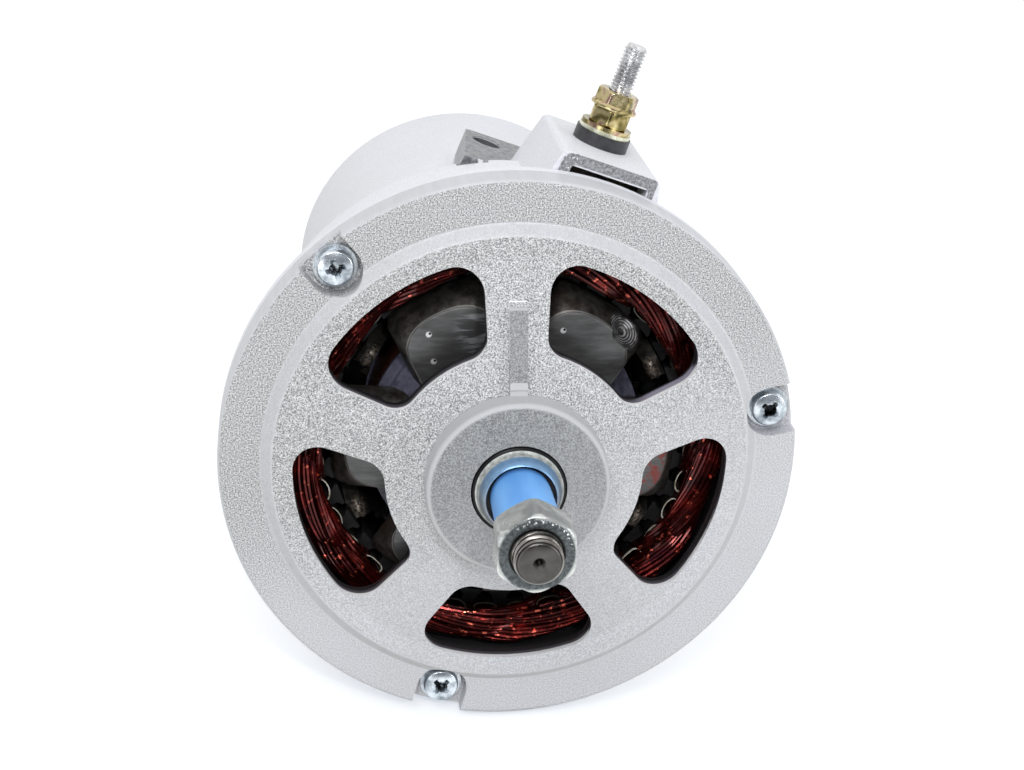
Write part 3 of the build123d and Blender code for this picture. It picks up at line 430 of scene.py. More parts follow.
def cast_shield():
    """Shot-blasted die-cast face with a smoother turned rim, step, boss and rib; light and shade are painted in:
    grain contrast by the light's direction, darker raised boss and rib, a shaded rib side and lit rib end, dark
    window walls, shaft hole and inside, and a highlight on the windows' lower front edges.
    """
    f = Finish("cast_shield")
    y, r, front = f.along(SHAFT), f.radius(), f.facing(SHAFT)
    upward = f.facing(UP, signed=True)
    cone = f.math("MULTIPLY_ADD", r, cone_slope, (band_y - cone_slope * window_outer_r) * MM)
    proud = f.math("SUBTRACT", cone, y)
    sand = f.noise(2700, 3.0, 0.75)
    speck = f.window(sand, 0.34, 0.68)
    # Painted light: toward the upper left, where the light grazes the face, the grain is painted with more contrast
    # and its bump is stronger; toward the lower right the skin is painted paler and bluer, as the soft fill light
    # shows it.
    grazing_light_side = f.past(f.along((-0.35, 0, 0.94)), -32, 22)

    rim = f.inside(r, shield_rim_r - 0.45, shield_rim_r + 5, 0.3)
    step = f.both(f.inside(r, step_foot_r - 0.1, step_top_r + 0.1, 0.5), f.inside(y, -2.6, 0.1, 0.2))
    smooth = f.math("MAXIMUM", rim, f.both(step, 0.8))
    raised = f.both(f.past(proud, 0.9, 1.4), f.past(r, rib_end_r + 0.6, rib_end_r))
    boss_side = f.both(raised, f.past(r, boss_r + 0.5, boss_r), f.past(r, boss_r - 2.5, boss_r - 1.7))
    # Painted light and shade on the rib: its sides are painted darker as shade, its sloping upper end painted lighter
    # as lit from above.
    rib_side_shade = f.both(raised, f.past(r, boss_r, boss_r + 0.5), f.window(front, 0.85, 0.6))
    rib_end_light = f.both(raised, f.window(front, 0.5, 0.7), f.window(f.inside(r, 27.0, 43.6, 0.8), 0.6, 0.2),
                     f.past(r, boss_r + 0.2, boss_r + 0.7))
    by_window = f.inside(r, window_inner_r - 1.0, window_outer_r + 1.2, 0.2)
    wall = f.both(f.window(front, 0.35, 0.2), by_window)
    low_wall = f.both(f.window(upward, 0.35, 0.7), f.past(proud, -4.0, -2.0))
    lit_wall = f.both(f.window(upward, 0.3, 0.6), f.past(f.along(ACROSS), 28, 36),
                      f.past(f.along(UP), 4, 10), f.past(proud, -4.5, -3.5))
    # Painted highlight: a near-white line on the front fillet of each window's lower edge, where the fillet faces up
    # into the light.
    crest = f.both(f.window(upward, 0.2, 0.5), f.window(front, 0.95, 0.85), f.past(proud, -1.7, -1.1),
                   f.past(proud, 0.3, 0.1), by_window)
    # Painted shade: the bore of the shaft hole, and the shield's inside behind the face away from the screws, are
    # painted near black.
    hole = f.both(f.past(r, shaft_hole_r + 0.15, shaft_hole_r), f.past(y, boss_front_y, boss_front_y + 0.4))
    inner = f.both(f.past(y, band_y + 2.6, band_y + 3.2), f.past(r, skirt_inner_r + 0.3, skirt_inner_r))
    for centre in screw_centres:
        inner = f.both(inner, f.flip(f.near(centre, 8.5, 0.3)))

    # Painted light: one grain in two lightings, hard-lit with strong contrast, and soft-lit paler and bluer.
    skin_in_grazing_light = f.mix(speck, (0.13, 0.134, 0.14), (0.81, 0.82, 0.84))
    skin_in_soft_blue_light = f.mix(speck, (0.40, 0.41, 0.44), (0.68, 0.69, 0.735))
    # Painted shade: the raised boss face and rib are painted darker than the coned face, and painted lighter on the
    # side away from the grazing light.
    raised_shade = f.mix(speck, (0.15, 0.155, 0.16), (0.43, 0.44, 0.45))
    raised_shade = f.mix(f.both(f.flip(grazing_light_side), 0.5), raised_shade, (0.40, 0.41, 0.43))
    turned = f.mix(f.noise(500, 2.0, 0.5, f.scaled((1, 0.12, 1))), (0.50, 0.51, 0.54), (0.61, 0.62, 0.655))
    grime = f.both(f.window(f.noise(26, 3.0, 0.55), 0.45, 0.75), 0.14)
    # Painted shade on the window walls: near black deep in the windows and dark grey near their front; walls facing
    # up are painted a dim grey, and those in the upper right window a lavender grey as painted light; the strip just
    # behind the face stays pale.
    deep = f.mix(f.past(proud, -2.3, -1.3), (0.004, 0.004, 0.005), (0.06, 0.056, 0.068))
    deep = f.paint(deep, (low_wall, (0.10, 0.095, 0.11)), (lit_wall, (0.36, 0.34, 0.43)),
                   (f.past(proud, -0.5, -0.2), (0.74, 0.75, 0.77)))
    base = f.paint(f.mix(grazing_light_side, skin_in_soft_blue_light, skin_in_grazing_light), (raised, raised_shade), (boss_side, (0.50, 0.51, 0.53)),
                   (rib_side_shade, (0.27, 0.275, 0.285)), (rib_end_light, (0.52, 0.53, 0.55)), (smooth, turned),
                   (grime, (0.44, 0.435, 0.43)), (wall, deep), (crest, (0.97, 0.97, 0.99)),
                   (hole, (0.01, 0.01, 0.011)), (inner, (0.02, 0.02, 0.022)))
    relief = f.both(sand, f.flip(f.both(smooth, 0.9)), f.math("MULTIPLY_ADD", grazing_light_side, 0.6, 0.4))
    f.done(base, 0.15, f.pick(smooth, f.span(speck, 0.0, 1.0, 0.68, 0.46), 0.5),
           (relief, 0.2), (f.noise(160, 2.0), 0.05))


def cast_housing():
    """Finer die-cast skin; the lug is milled bare, and its bore and the inside are painted dark as shade."""
    f = Finish("cast_housing")
    y, reach, side = f.along(SHAFT), f.along(stud_axis), f.along(box_side)
    sand = f.noise(1700, 3.0, 0.7)
    skin = f.tint(sand, 0.3, 0.7, (0.65, 0.66, 0.70), (0.77, 0.78, 0.825))
    skin = f.mix(f.both(f.window(f.noise(22, 3.0, 0.6), 0.4, 0.75), 0.25), skin, (0.62, 0.62, 0.63))
    cutter = f.noise(420, 2.0, 0.5, f.scaled((1.0, 9.0, 1.0)))
    tone = f.math("MULTIPLY_ADD", f.noise(700, 2.0, 0.7), 0.6, f.both(cutter, 0.6))
    bare = f.tint(tone, 0.45, 0.8, (0.11, 0.115, 0.125), (0.34, 0.35, 0.365))
    lug_length = f.inside(y, 44.0, 82.0, 0.1)
    top = f.both(f.inside(reach, lug_top_reach - 0.12, lug_top_reach + 0.4, 0.05), lug_length,
                 f.inside(side, 9.0, 33.0, 0.2))
    cheek = f.both(f.inside(side, 27.3, 32.5, 0.05), lug_length, f.past(reach, 54.6, 55.0))
    # Painted shade: the lug's bore and the inside of the housing are painted dark.
    bore = f.both(f.inside(side, 17.0, 27.0, 0.2), f.inside(y, 65.0, 75.0, 0.2),
                  f.past(reach, lug_top_reach - 0.2, lug_top_reach - 0.5),
                  f.window(f.facing(stud_axis), 0.4, 0.2), f.past(reach, 50.0, 50.4))
    inside = f.both(f.past(f.radius(), skirt_inner_r + 0.1, skirt_inner_r - 0.3), f.inside(y, 0.0, 46.0, 0.3),
                    f.past(reach, 49.5, 48.5))
    milled = f.math("MAXIMUM", top, cheek)
    base = f.paint(skin, (milled, bare), (bore, (0.10, 0.10, 0.11)), (inside, (0.03, 0.03, 0.032)))
    f.done(base, f.pick(milled, 0.0, 0.5), f.pick(milled, f.gloss(sand, 0.5, 0.62), 0.36),
           (f.both(sand, f.flip(milled)), 0.05), (f.noise(120, 2.0), 0.05))


def milled_cast():
    """Bare milled front of the terminal box, scuffed bright in places."""
    f = Finish("milled_cast")
    strokes = f.noise(1300, 3.0, 0.7)
    streak = f.noise(380, 2.0, 0.5, f.scaled((1.0, 6.0, 1.0)))
    scuffs = f.both(f.window(strokes, 0.58, 0.64), f.past(f.along(box_side), 7.5, 10.0))
    base = f.paint(f.tint(strokes, 0.35, 0.68, (0.16, 0.165, 0.175), (0.44, 0.45, 0.465)),
                   (f.window(streak, 0.5, 0.8), (0.34, 0.345, 0.36)), (scuffs, 0.93))
    f.done(base, 0.35, f.gloss(strokes, 0.4, 0.55), (strokes, 0.05))


def enamelled_copper():
    """Deep red enamel over copper, with small painted glints: bright spots in the base colour that stand in for
    highlights.
    """
    f = Finish("enamelled_copper")
    fine = f.noise(900, 2.0, 0.5)
    tone = f.math("ADD", f.both(f.noise(150, 2.0, 0.6), 0.75), f.both(fine, 0.25))
    red = f.ramp(tone, [(0.30, (0.02, 0.002, 0.002)), (0.52, (0.085, 0.006, 0.005)), (0.70, (0.24, 0.018, 0.012))])
    # Painted highlight: small bright red-orange spots in the base colour, a little smoother than the rest.
    painted_glint = f.window(f.noise(520, 2.0, 0.55), 0.62, 0.70)
    f.done(f.mix(painted_glint, red, (1.0, 0.20, 0.13)), 0.85, f.pick(painted_glint, f.gloss(fine, 0.14, 0.26), 0.22),
           (fine, 0.03), Coat_Weight=0.3, Coat_Roughness=0.06)


def claw_steel():
    """Forged pole: dark scale, milled and scratched front faces, one drilled balance mark; painted highlights and
    shadows on small face marks, a painted reflection in the drilled mark and a painted highlight along the front
    edges.
    """
    f = Finish("claw_steel")
    y = f.along(SHAFT)
    scale = f.noise(330, 3.0, 0.65)
    cloud = f.noise(70, 2.0, 0.6)
    radial = f.noise(900, 2.0, 0.6, f.scaled((0.18, 1, 1.0)))
    forged = f.tint(scale, 0.3, 0.7, (0.028, 0.026, 0.024), (0.115, 0.108, 0.098))
    forged = f.mix(f.window(cloud, 0.55, 0.8), forged, (0.085, 0.05, 0.035))
    worn = f.both(f.near((-8.5, rotor_front_y, 33.5), 5.0, 2.5), f.window(radial, 0.42, 0.62))
    splash = f.both(f.past(f.along(ACROSS), 20, 26), f.past(f.along(UP), 12, 8), f.window(scale, 0.45, 0.6))
    stain = f.tint(cloud, 0.35, 0.55, 0.30, (0.20, 0.055, 0.05))
    face = f.paint(f.tint(radial, 0.3, 0.75, 0.088, (0.135, 0.136, 0.138)),
                   (worn, (0.36, 0.38, 0.40)), (splash, stain))
    # Each small mark is painted as a bright spot with a near-black spot just beside it: the painted highlight and
    # painted shadow of a small pit.
    for place in face_marks:
        face = f.paint(face, (f.near(place, 0.75, 0.2), 0.80),
                       (f.near(place + Vector((0.3, 0, 0.25)), 0.35, 0.15), 0.01))

    far = f.far_from(dimple_place)
    drilled_zone = f.both(f.near(dimple_place, 5.3, 0.2), f.window(f.facing(dimple_axis, signed=True), 0.80, 0.88))
    ring = f.math("SINE", f.both(far, 9500.0))
    # Painted reflection: a bright fan-shaped sector of the drilled mark's rings, on the side toward dimple_beam,
    # stands in for the light a turned hollow reflects.
    lean = f.math("SUBTRACT", f.along(dimple_beam), dimple_beam.dot(dimple_place) * MM)
    reflection_wedge = f.window(f.math("DIVIDE", lean, far), 0.86, 0.99)
    lines = f.paint(f.tint(ring, -0.4, 0.5, (0.05, 0.05, 0.052), (0.60, 0.61, 0.62)),
                    (f.window(scale, 0.62, 0.42), (0.10, 0.10, 0.102)),
                    (f.both(reflection_wedge, f.window(ring, -1.0, 0.4)), (0.80, 0.81, 0.82)))
    side = f.window(f.facing(SHAFT), 0.9, 0.6)
    front = f.inside(y, rotor_front_y - 0.3, rotor_front_y + 0.12, 0.06)
    # Painted highlight: a lighter band along the front edge of the claw sides.
    rim = f.both(f.inside(y, rotor_front_y - 0.3, rotor_front_y + 0.55, 0.1), f.window(side, 0.05, 0.3), 0.6)
    base = f.paint(forged, (front, face), (drilled_zone, lines), (rim, (0.33, 0.33, 0.32)))
    f.done(base, 0.8, f.pick(front, 0.5, 0.4), (f.both(scale, f.flip(front)), 0.14), (f.both(radial, front), 0.03))


def liner_film():
    """Slot liner film: pale torn front edge; behind it, inside the slot, painted near black as shade, and outside a
    band of heights painted dark brown as shade.
    """
    f = Finish("liner_film")
    y, z = f.along(SHAFT), f.along(UP)
    fine = f.noise(700, 2.0, 0.6)
    # Painted shade: behind its front edge, inside the slot, the film is painted near black.
    edge = f.past(f.math("MULTIPLY_ADD", fine, 0.3 * MM, y), film_front_y + 0.75, film_front_y + 0.4)
    # Painted shade: outside a band of heights the film is painted dark brown.
    shown = f.both(f.past(z, 16, 12), f.past(z, -42, -36))
    pale = f.tint(fine, 0.35, 0.65, (0.30, 0.26, 0.19), (0.80, 0.78, 0.70))
    pale = f.mix(shown, (0.05, 0.045, 0.035), pale)
    f.done(f.mix(edge, (0.018, 0.016, 0.015), pale), 0.0, f.gloss(fine, 0.25, 0.4), (fine, 0.02))


def finger_scale():
    """Rough brown end of a rear finger."""
    f = Finish("finger_scale")
    pits = f.noise(1000, 3.0, 0.7)
    f.done(f.tint(pits, 0.38, 0.66, (0.03, 0.025, 0.02), (0.24, 0.20, 0.165)), 0.5, f.gloss(pits, 0.22, 0.4),
           (pits, 0.25))


def yellow_zinc():
    """Yellow-passivated zinc with its gold, olive and pink drift."""
    f = Finish("yellow_zinc")
    drift = f.noise(190, 2.0, 0.6, distortion=0.8)
    base = f.ramp(drift, [(0.30, (0.06, 0.055, 0.02)), (0.42, (0.26, 0.21, 0.08)), (0.54, (0.66, 0.56, 0.30)),
                          (0.64, (0.46, 0.29, 0.24)), (0.76, (0.16, 0.18, 0.07))])
    fine = f.noise(1500, 2.0, 0.6)
    f.done(base, 0.95, f.gloss(fine, 0.13, 0.26), (fine, 0.02))


def bright_zinc(name, dark, light, rough):
    """Pale zinc plate, clouded, with pits and fine scratches."""
    f = Finish(name)
    scratch = f.noise(700, 2.0, 0.6, f.scaled((3.2, 0.5, 0.7)))
    pits = f.window(f.cells(900), 0.12, 0.35)
    tone = f.math("ADD", f.both(f.noise(170, 3.0, 0.6), 0.6), f.both(scratch, 0.4))
    base = f.tint(tone, 0.36, 0.66, dark, light)
    f.done(f.mix(pits, f.mix(0.4, base, dark), base), 0.92, f.gloss(tone, rough * 1.4, rough * 0.8),
           (scratch, 0.025), (pits, 0.02))


def zinc_screw():
    """Blue-white zinc plate, with the bottom of each cross recess painted nearly black as shade."""
    f = Finish("zinc_screw")
    cloud = f.noise(240, 3.0, 0.6)
    base = f.tint(cloud, 0.36, 0.66, (0.26, 0.30, 0.34), (0.76, 0.82, 0.88))
    # Painted shade: the bottom of each cross recess is painted nearly black.
    recess = f.tint(cloud, 0.5, 0.58, (0.012, 0.014, 0.016), (0.45, 0.50, 0.54))
    deep = f.past(f.along(SHAFT), screw_top_y, screw_top_y + 0.5)
    for centre in screw_centres:
        base = f.mix(f.both(f.near(centre, 2.15, 0.2), deep), base, recess)
    f.done(base, 0.9, f.gloss(cloud, 0.32, 0.2), (cloud, 0.02))


def sleeve_blue():
    """Sky-blue plastic sleeve with soft mould streaks."""
    f = Finish("sleeve_blue")
    streak = f.noise(120, 2.0, 0.5, f.scaled((1, 0.25, 1)))
    fine = f.noise(1200, 2.0, 0.5)
    f.done(f.tint(streak, 0.3, 0.7, (0.105, 0.32, 0.74), (0.18, 0.45, 0.90)), 0.0, f.gloss(fine, 0.3, 0.45),
           (fine, 0.01))


def collar_steel():
    """Turned collar: pale step, a face painted bluish on its upper part as painted light, and painted shade near
    black in the groove next to the sleeve and at the outer edge.
    """
    f = Finish("collar_steel")
    r = f.radius()
    lines = f.noise(700, 2.0, 0.6)
    grey = f.mix(lines, (0.14, 0.16, 0.19), (0.30, 0.33, 0.37))
    # Painted light: the upper part of the collar face is painted blue and lighter, the lower part darker grey.
    blue = f.mix(lines, (0.12, 0.24, 0.42), (0.24, 0.40, 0.60))
    pale = f.tint(lines, 0.3, 0.7, (0.40, 0.43, 0.42), (0.70, 0.72, 0.69))
    # Painted shade: the groove next to the sleeve and the gap at the collar's outer edge are painted near black.
    groove = f.past(r, groove_r + 0.1, groove_r - 0.05)
    edge = f.past(r, collar_r - 0.12, collar_r - 0.02)
    base = f.paint(grey, (f.past(f.along(UP), -3.0, 8.0), blue), (f.past(r, 10.35, 10.5), pale),
                   (f.math("MAXIMUM", groove, edge), (0.012, 0.012, 0.014)))
    f.done(base, 0.7, f.gloss(lines, 0.3, 0.42), (lines, 0.015))


def fan_nut_zinc():
    """Pale flats; the front face is dark and brushed, rubbed lighter at its outer edge, with a painted highlight of
    bright hatch on its upper right and painted shade near black round the bore.
    """
    f = Finish("fan_nut_zinc")
    y, r = f.along(SHAFT), f.radius()
    cloud = f.noise(170, 3.0, 0.6)
    hatch = f.noise(1100, 2.0, 0.7)
    flats = f.tint(cloud, 0.35, 0.66, (0.46, 0.48, 0.47), (0.80, 0.82, 0.79))
    # Painted highlight: bright hatch on the upper right of the front face near the bore, where the light catches it.
    upper = f.past(f.along((0.35, 0, 0.94)), 3.0, 6.5)
    upper_highlight_hatch = f.both(f.window(hatch, 0.57, 0.62), f.past(r, 7.7, 8.4), upper)
    worn_edge = f.both(f.past(r, 8.8, 9.4), f.window(cloud, 0.38, 0.56))
    # The front face's inner edge, inside 6.6 mm, is painted near black as shade.
    face = f.paint(f.tint(hatch, 0.3, 0.7, (0.055, 0.062, 0.066), (0.13, 0.145, 0.15)),
                   (upper_highlight_hatch, (0.78, 0.80, 0.79)), (worn_edge, (0.50, 0.53, 0.52)),
                   (f.past(r, 7.0, 6.6), (0.012, 0.012, 0.013)))
    front = f.past(y, nut_front_y + 0.28, nut_front_y + 0.05)
    f.done(f.mix(front, flats, face), 0.85, f.pick(front, f.gloss(cloud, 0.4, 0.26), 0.34),
           (f.both(hatch, front), 0.03), (cloud, 0.02))


def shaft_steel():
    """Turned steel, oily brown-grey, with ring marks on the front end; its centre hole and the thread valleys in
    front of the nut are painted near black as shade.
    """
    f = Finish("shaft_steel")
    y, r = f.along(SHAFT), f.radius()
    rings = f.math("SINE", f.both(r, 9000.0))
    cloud = f.noise(260, 3.0, 0.6)
    tone = f.math("MULTIPLY_ADD", rings, 0.05, cloud)
    end = f.both(f.past(y, -54.5, -55.1), f.past(r, 5.4, 5.0))
    # Painted shade: the centre-drilled hole and the thread valleys of the front end are painted near black.
    pit = f.both(f.past(r, 1.2, 0.7), f.past(y, -54.0, -54.6))
    valley = f.both(f.window(f.math("SINE", f.both(y, thread_wave)), 0.1, 0.7),
                    f.past(y, nut_front_y + 0.5, nut_front_y), f.past(r, 4.9, 5.3))
    base = f.paint(f.tint(tone, 0.3, 0.7, (0.14, 0.13, 0.12), (0.34, 0.32, 0.30)),
                   (end, f.mix(cloud, (0.03, 0.028, 0.027), (0.15, 0.143, 0.137))),
                   (pit, (0.02, 0.019, 0.018)), (valley, (0.02, 0.019, 0.018)))
    f.done(base, 0.9, f.gloss(cloud, 0.26, 0.4), (rings, 0.003), (cloud, 0.02))


# Dark and light shade, metallic and roughness.
plain_finishes = {
    "bearing_steel": ((0.42, 0.42, 0.43), (0.60, 0.60, 0.61), 0.9, 0.25),
    "ball_steel": ((0.55, 0.55, 0.56), (0.68, 0.68, 0.69), 1.0, 0.12),
    "cage_polymer": ((0.02, 0.05, 0.03), (0.04, 0.09, 0.05), 0.0, 0.5),
    "plate_steel": ((0.25, 0.25, 0.26), (0.42, 0.42, 0.43), 0.85, 0.38),
    "laminated_steel": ((0.004, 0.004, 0.005), (0.016, 0.016, 0.018), 0.3, 0.6),
    "lead_insulation": ((0.30, 0.02, 0.02), (0.42, 0.04, 0.03), 0.0, 0.45),
    "bobbin_polymer": ((0.045, 0.045, 0.07), (0.12, 0.12, 0.17), 0.0, 0.3),
    "coil_lacquer": ((0.06, 0.018, 0.012), (0.15, 0.05, 0.03), 0.3, 0.3),
    "hub_resin": ((0.025, 0.02, 0.018), (0.06, 0.05, 0.045), 0.0, 0.42),
    "slip_copper": ((0.48, 0.23, 0.13), (0.72, 0.38, 0.22), 0.95, 0.25),
    "pulley_steel": ((0.30, 0.30, 0.31), (0.52, 0.52, 0.53), 0.9, 0.35),
    "carbon_brush": (0.02, (0.055, 0.052, 0.05), 0.2, 0.55),
    "spring_steel": ((0.35, 0.33, 0.30), (0.55, 0.53, 0.50), 0.9, 0.3),
    "holder_resin": ((0.018, 0.018, 0.02), (0.045, 0.045, 0.048), 0.0, 0.5),
    "regulator_case": ((0.03, 0.03, 0.033), (0.07, 0.07, 0.075), 0.0, 0.42),
    "sink_aluminium": ((0.52, 0.53, 0.55), (0.68, 0.69, 0.71), 0.8, 0.36),
    "diode_can": ((0.45, 0.40, 0.34), (0.66, 0.60, 0.52), 0.85, 0.34),
    "link_copper": ((0.45, 0.20, 0.11), (0.70, 0.36, 0.20), 0.9, 0.3),
    "sink_insulator": ((0.42, 0.30, 0.16), (0.58, 0.43, 0.24), 0.0, 0.55),
    "stud_insulator_black": ((0.012, 0.012, 0.014), (0.045, 0.045, 0.05), 0.0, 0.42),
    "inner_insulator_black": ((0.015, 0.015, 0.017), (0.04, 0.04, 0.045), 0.0, 0.5),
    "terminal_resin": ((0.015, 0.015, 0.016), (0.04, 0.04, 0.042), 0.0, 0.55),
    "blade_brass": ((0.48, 0.36, 0.14), (0.70, 0.55, 0.26), 0.9, 0.3),
}


def make_finishes():
    """Every finish by the name of its record slot."""
    for make in (cast_shield, cast_housing, claw_steel, enamelled_copper, milled_cast, yellow_zinc, sleeve_blue,
                 zinc_screw, finger_scale, fan_nut_zinc, collar_steel, shaft_steel, liner_film):
        make()
    bright_zinc("zinc_washer", (0.34, 0.37, 0.40), (0.76, 0.80, 0.84), 0.3)
    bright_zinc("pale_zinc", (0.60, 0.60, 0.45), (0.90, 0.90, 0.76), 0.3)
    bright_zinc("stud_steel", (0.40, 0.40, 0.41), (0.93, 0.93, 0.94), 0.26)
    for name, values in plain_finishes.items():
        plain_finish(name, *values)


def dress_nodes():
    """Gives every CAD node the finish of its record slot."""
    for entry in frame["record"]["subparts"]:
        node = nodes[entry["node"]]
        finish = finishes[entry["material_slot"]]
        if not node.material_slots:
            node.data.materials.append(finish)
        for place in node.material_slots:
            place.material = finish


make_finishes()
dress_nodes()


# --- windings: bundles of enamelled wire laid round the bell ---

stack_front_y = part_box("stator_core")[0][1] / MM
stack_back_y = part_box("stator_core")[1][1] / MM
turns_back_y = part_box("stator_windings")[1][1] / MM
bundle_count = 12
bundle_wires = 17
bundle_span = 56.0
lay_outer_r = 55.3
lay_inner_r = 51.8
lay_crown_y = 9.9
lay_slot_y = stack_front_y + 0.5
lay_half_radial = 3.4
lay_half_axial = 2.3
wire_r = 0.68
wire_sides = 8
wire_stations = 34
lay_turn = 150.0            # degrees that the wires twist round their bundle
lay_flips = (100.0, 300.0)  # angles where the lay changes hand


def bundle_wire(middle, hand, seed, place):
    """One wire of a bundle that runs from the outer layer to the inner one."""
    luck = random.Random(seed * 100 + place)
    phase = 360.0 * place / bundle_wires + luck.uniform(-7, 7)
    reach = luck.uniform(0.86, 1.04)
    wander = luck.uniform(0, 2 * pi)
    points = []
    for i in range(wire_stations):
        t = i / (wire_stations - 1)
        ease = t * t * (3 - 2 * t)
        rise = min(1.0, sin(pi * t) ** 0.6 * 1.15)
        radius = lay_outer_r + (lay_inner_r - lay_outer_r) * ease
        y = lay_slot_y + (lay_crown_y - lay_slot_y) * rise
        turn = radians(phase + lay_turn * t * hand)
        spread = 0.72 + 0.28 * rise
        radius += cos(turn) * lay_half_radial * reach * spread
        y += sin(turn) * lay_half_axial * reach
        y += 0.25 * sin(3 * pi * t + wander)
        angle = middle + hand * bundle_span * (t - 0.5)
        points.append(polar(radius, angle, y))
    return tube_along(points, wire_r, wire_sides)


def make_windings():
    wires = []
    for i in range(bundle_count):
        middle = (i + 0.5) * 360 / bundle_count
        hand = 1 if lay_flips[0] < middle < lay_flips[1] else -1
        wires += [bundle_wire(middle, hand, i, place) for place in range(bundle_wires)]
    front = piece("end_turns_front", *merged(wires), "casing", "enamelled_copper")
    core = lathe(closed([(50.6, 13.2), (53.5, 11.4), (57.6, 12.2), (58.6, 17.5), (50.6, 17.5)]), 144)
    heart = piece("end_turns_heart", *core, "casing", "enamelled_copper")
    rows = [(48.9, stack_back_y + 2.8), (58.9, stack_back_y + 2.8), (59.4, stack_back_y + 4.6),
            (58.0, turns_back_y - 0.4), (54.0, turns_back_y), (50.2, turns_back_y - 0.4),
            (48.9, stack_back_y + 4.6)]
    back = piece("end_turns_back", *lathe(closed(rows), 144), "casing", "enamelled_copper")
    for made in (front, heart, back):
        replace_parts(made, "stator_windings")
    return front


# --- slot films ---

film_count = 36
film_thick = 0.32
film_inner_r = 48.4
film_cusp_r = 50.3
film_floor_r = 56.4
film_flare_half = 3.4


def film_outline(flare, inset, luck):
    """Half-closed U of one film, as (radius, sideways), its round end toward the shaft."""
    half = 2.0 + (film_flare_half - 2.0) * flare - inset
    neck = film_cusp_r - 0.3 * (1 - flare)
    tip = film_inner_r + 0.7 * (1 - flare) + inset
    points = [(film_floor_r, 2.75 - inset), (neck + 3.2, 2.35 - inset), (neck + 1.0, 0.55 * half + 1.1)]
    for i in range(13):
        turn = pi * i / 12
        points.append((neck - (neck - tip) * sin(turn) ** 0.85 + luck * 0.12 * sin(3 * turn), half * cos(turn)))
    points += [(neck + 1.0, -0.55 * half - 1.1), (neck + 3.2, -2.35 + inset), (film_floor_r, -2.75 + inset)]
    return points


def film_mesh(angle, seed):
    """One film as a thin folded sheet with a bare front edge."""
    luck = random.Random(seed)
    lift = luck.uniform(-0.35, 0.35)
    bend = luck.uniform(-1, 1)
    rows = [(stack_front_y + 4.0, 0.0), (stack_front_y - 0.3, 0.0), (stack_front_y - 1.6, 0.35),
            (film_front_y + 0.5 + lift, 0.9), (film_front_y + lift, 1.0)]
    sections = [(y, film_outline(flare, inset, bend)) for inset in (0.0, film_thick) for y, flare in rows]
    width = len(sections[0][1])
    layer = width * len(rows)
    faces = grid_faces(len(rows), width) + grid_faces(len(rows), width, layer)
    edges = [(row * width + i, 1) for row in (0, len(rows) - 1) for i in range(width - 1)]
    edges += [(row * width + i, width) for i in (0, width - 1) for row in range(len(rows) - 1)]
    faces += [[a, a + step, a + step + layer, a + layer] for a, step in edges]
    return placed(angle, sections), faces


def make_films():
    step = 360 / film_count
    films = merged([film_mesh(step / 2 + i * step, i) for i in range(film_count)])
    made = piece("slot_films", *films, "casing", "liner_film", sharp=50)
    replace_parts(made, "slot_liners")


# --- claw poles ---

claw_count = 6
claw_first_angle = 56.2
claw_stack = [
    # y, half width, reach at the middle, depth of the rounded lobe, lobe power, inner reach
    (7.00, 11.7, 42.3, 9.5, 2.3, 24.0),
    (7.25, 12.0, 42.7, 9.3, 2.3, 24.0),
    (9.40, 12.8, 44.0, 7.4, 2.5, 24.0),
    (11.6, 13.6, 45.0, 5.4, 2.8, 24.0),
    (13.8, 13.8, 45.7, 3.9, 3.4, 24.0),
    (16.2, 13.2, 45.9, 3.3, 4.0, 24.0),
    (17.0, 12.9, 45.9, 3.2, 4.0, 38.6),
    (40.6, 3.2, 45.9, 0.9, 3.0, 42.3),
    (41.8, 2.2, 45.0, 0.6, 2.6, 42.6),
]
lobe_points = 33


def claw_loop(half, reach, lobe, power, inner):
    """One section of a claw across the shaft, as (outward, sideways)."""
    points = [(inner, -half)]
    for i in range(lobe_points):
        turn = -pi / 2 + pi * i / (lobe_points - 1)
        side = abs(sin(turn)) ** (2 / power) * (1 if turn > 0 else -1)
        points.append((reach - lobe + lobe * abs(cos(turn)) ** (2 / power), half * side))
    return points + [(inner, half)]


def claw_mesh(angle):
    """One claw with its lobe in front and its finger behind."""
    width = lobe_points + 2
    last = (len(claw_stack) - 1) * width
    faces = grid_faces(len(claw_stack), width, wrap=True)
    faces += [list(range(width)), list(range(last, last + width))]
    return placed(angle, [(y, claw_loop(*rest)) for y, *rest in claw_stack]), faces


def drilled(made, cutter):
    """Cuts a hole in a piece and removes the cutter."""
    cut = made.modifiers.new("hole", "BOOLEAN")
    cut.operation = "DIFFERENCE"
    cut.solver = "EXACT"
    cut.object = cutter
    bpy.context.view_layer.update()
    shown = made.evaluated_get(bpy.context.evaluated_depsgraph_get())
    mesh = bpy.data.meshes.new_from_object(shown)
    made.modifiers.clear()
    made.data = mesh
    bpy.data.objects.remove(cutter)


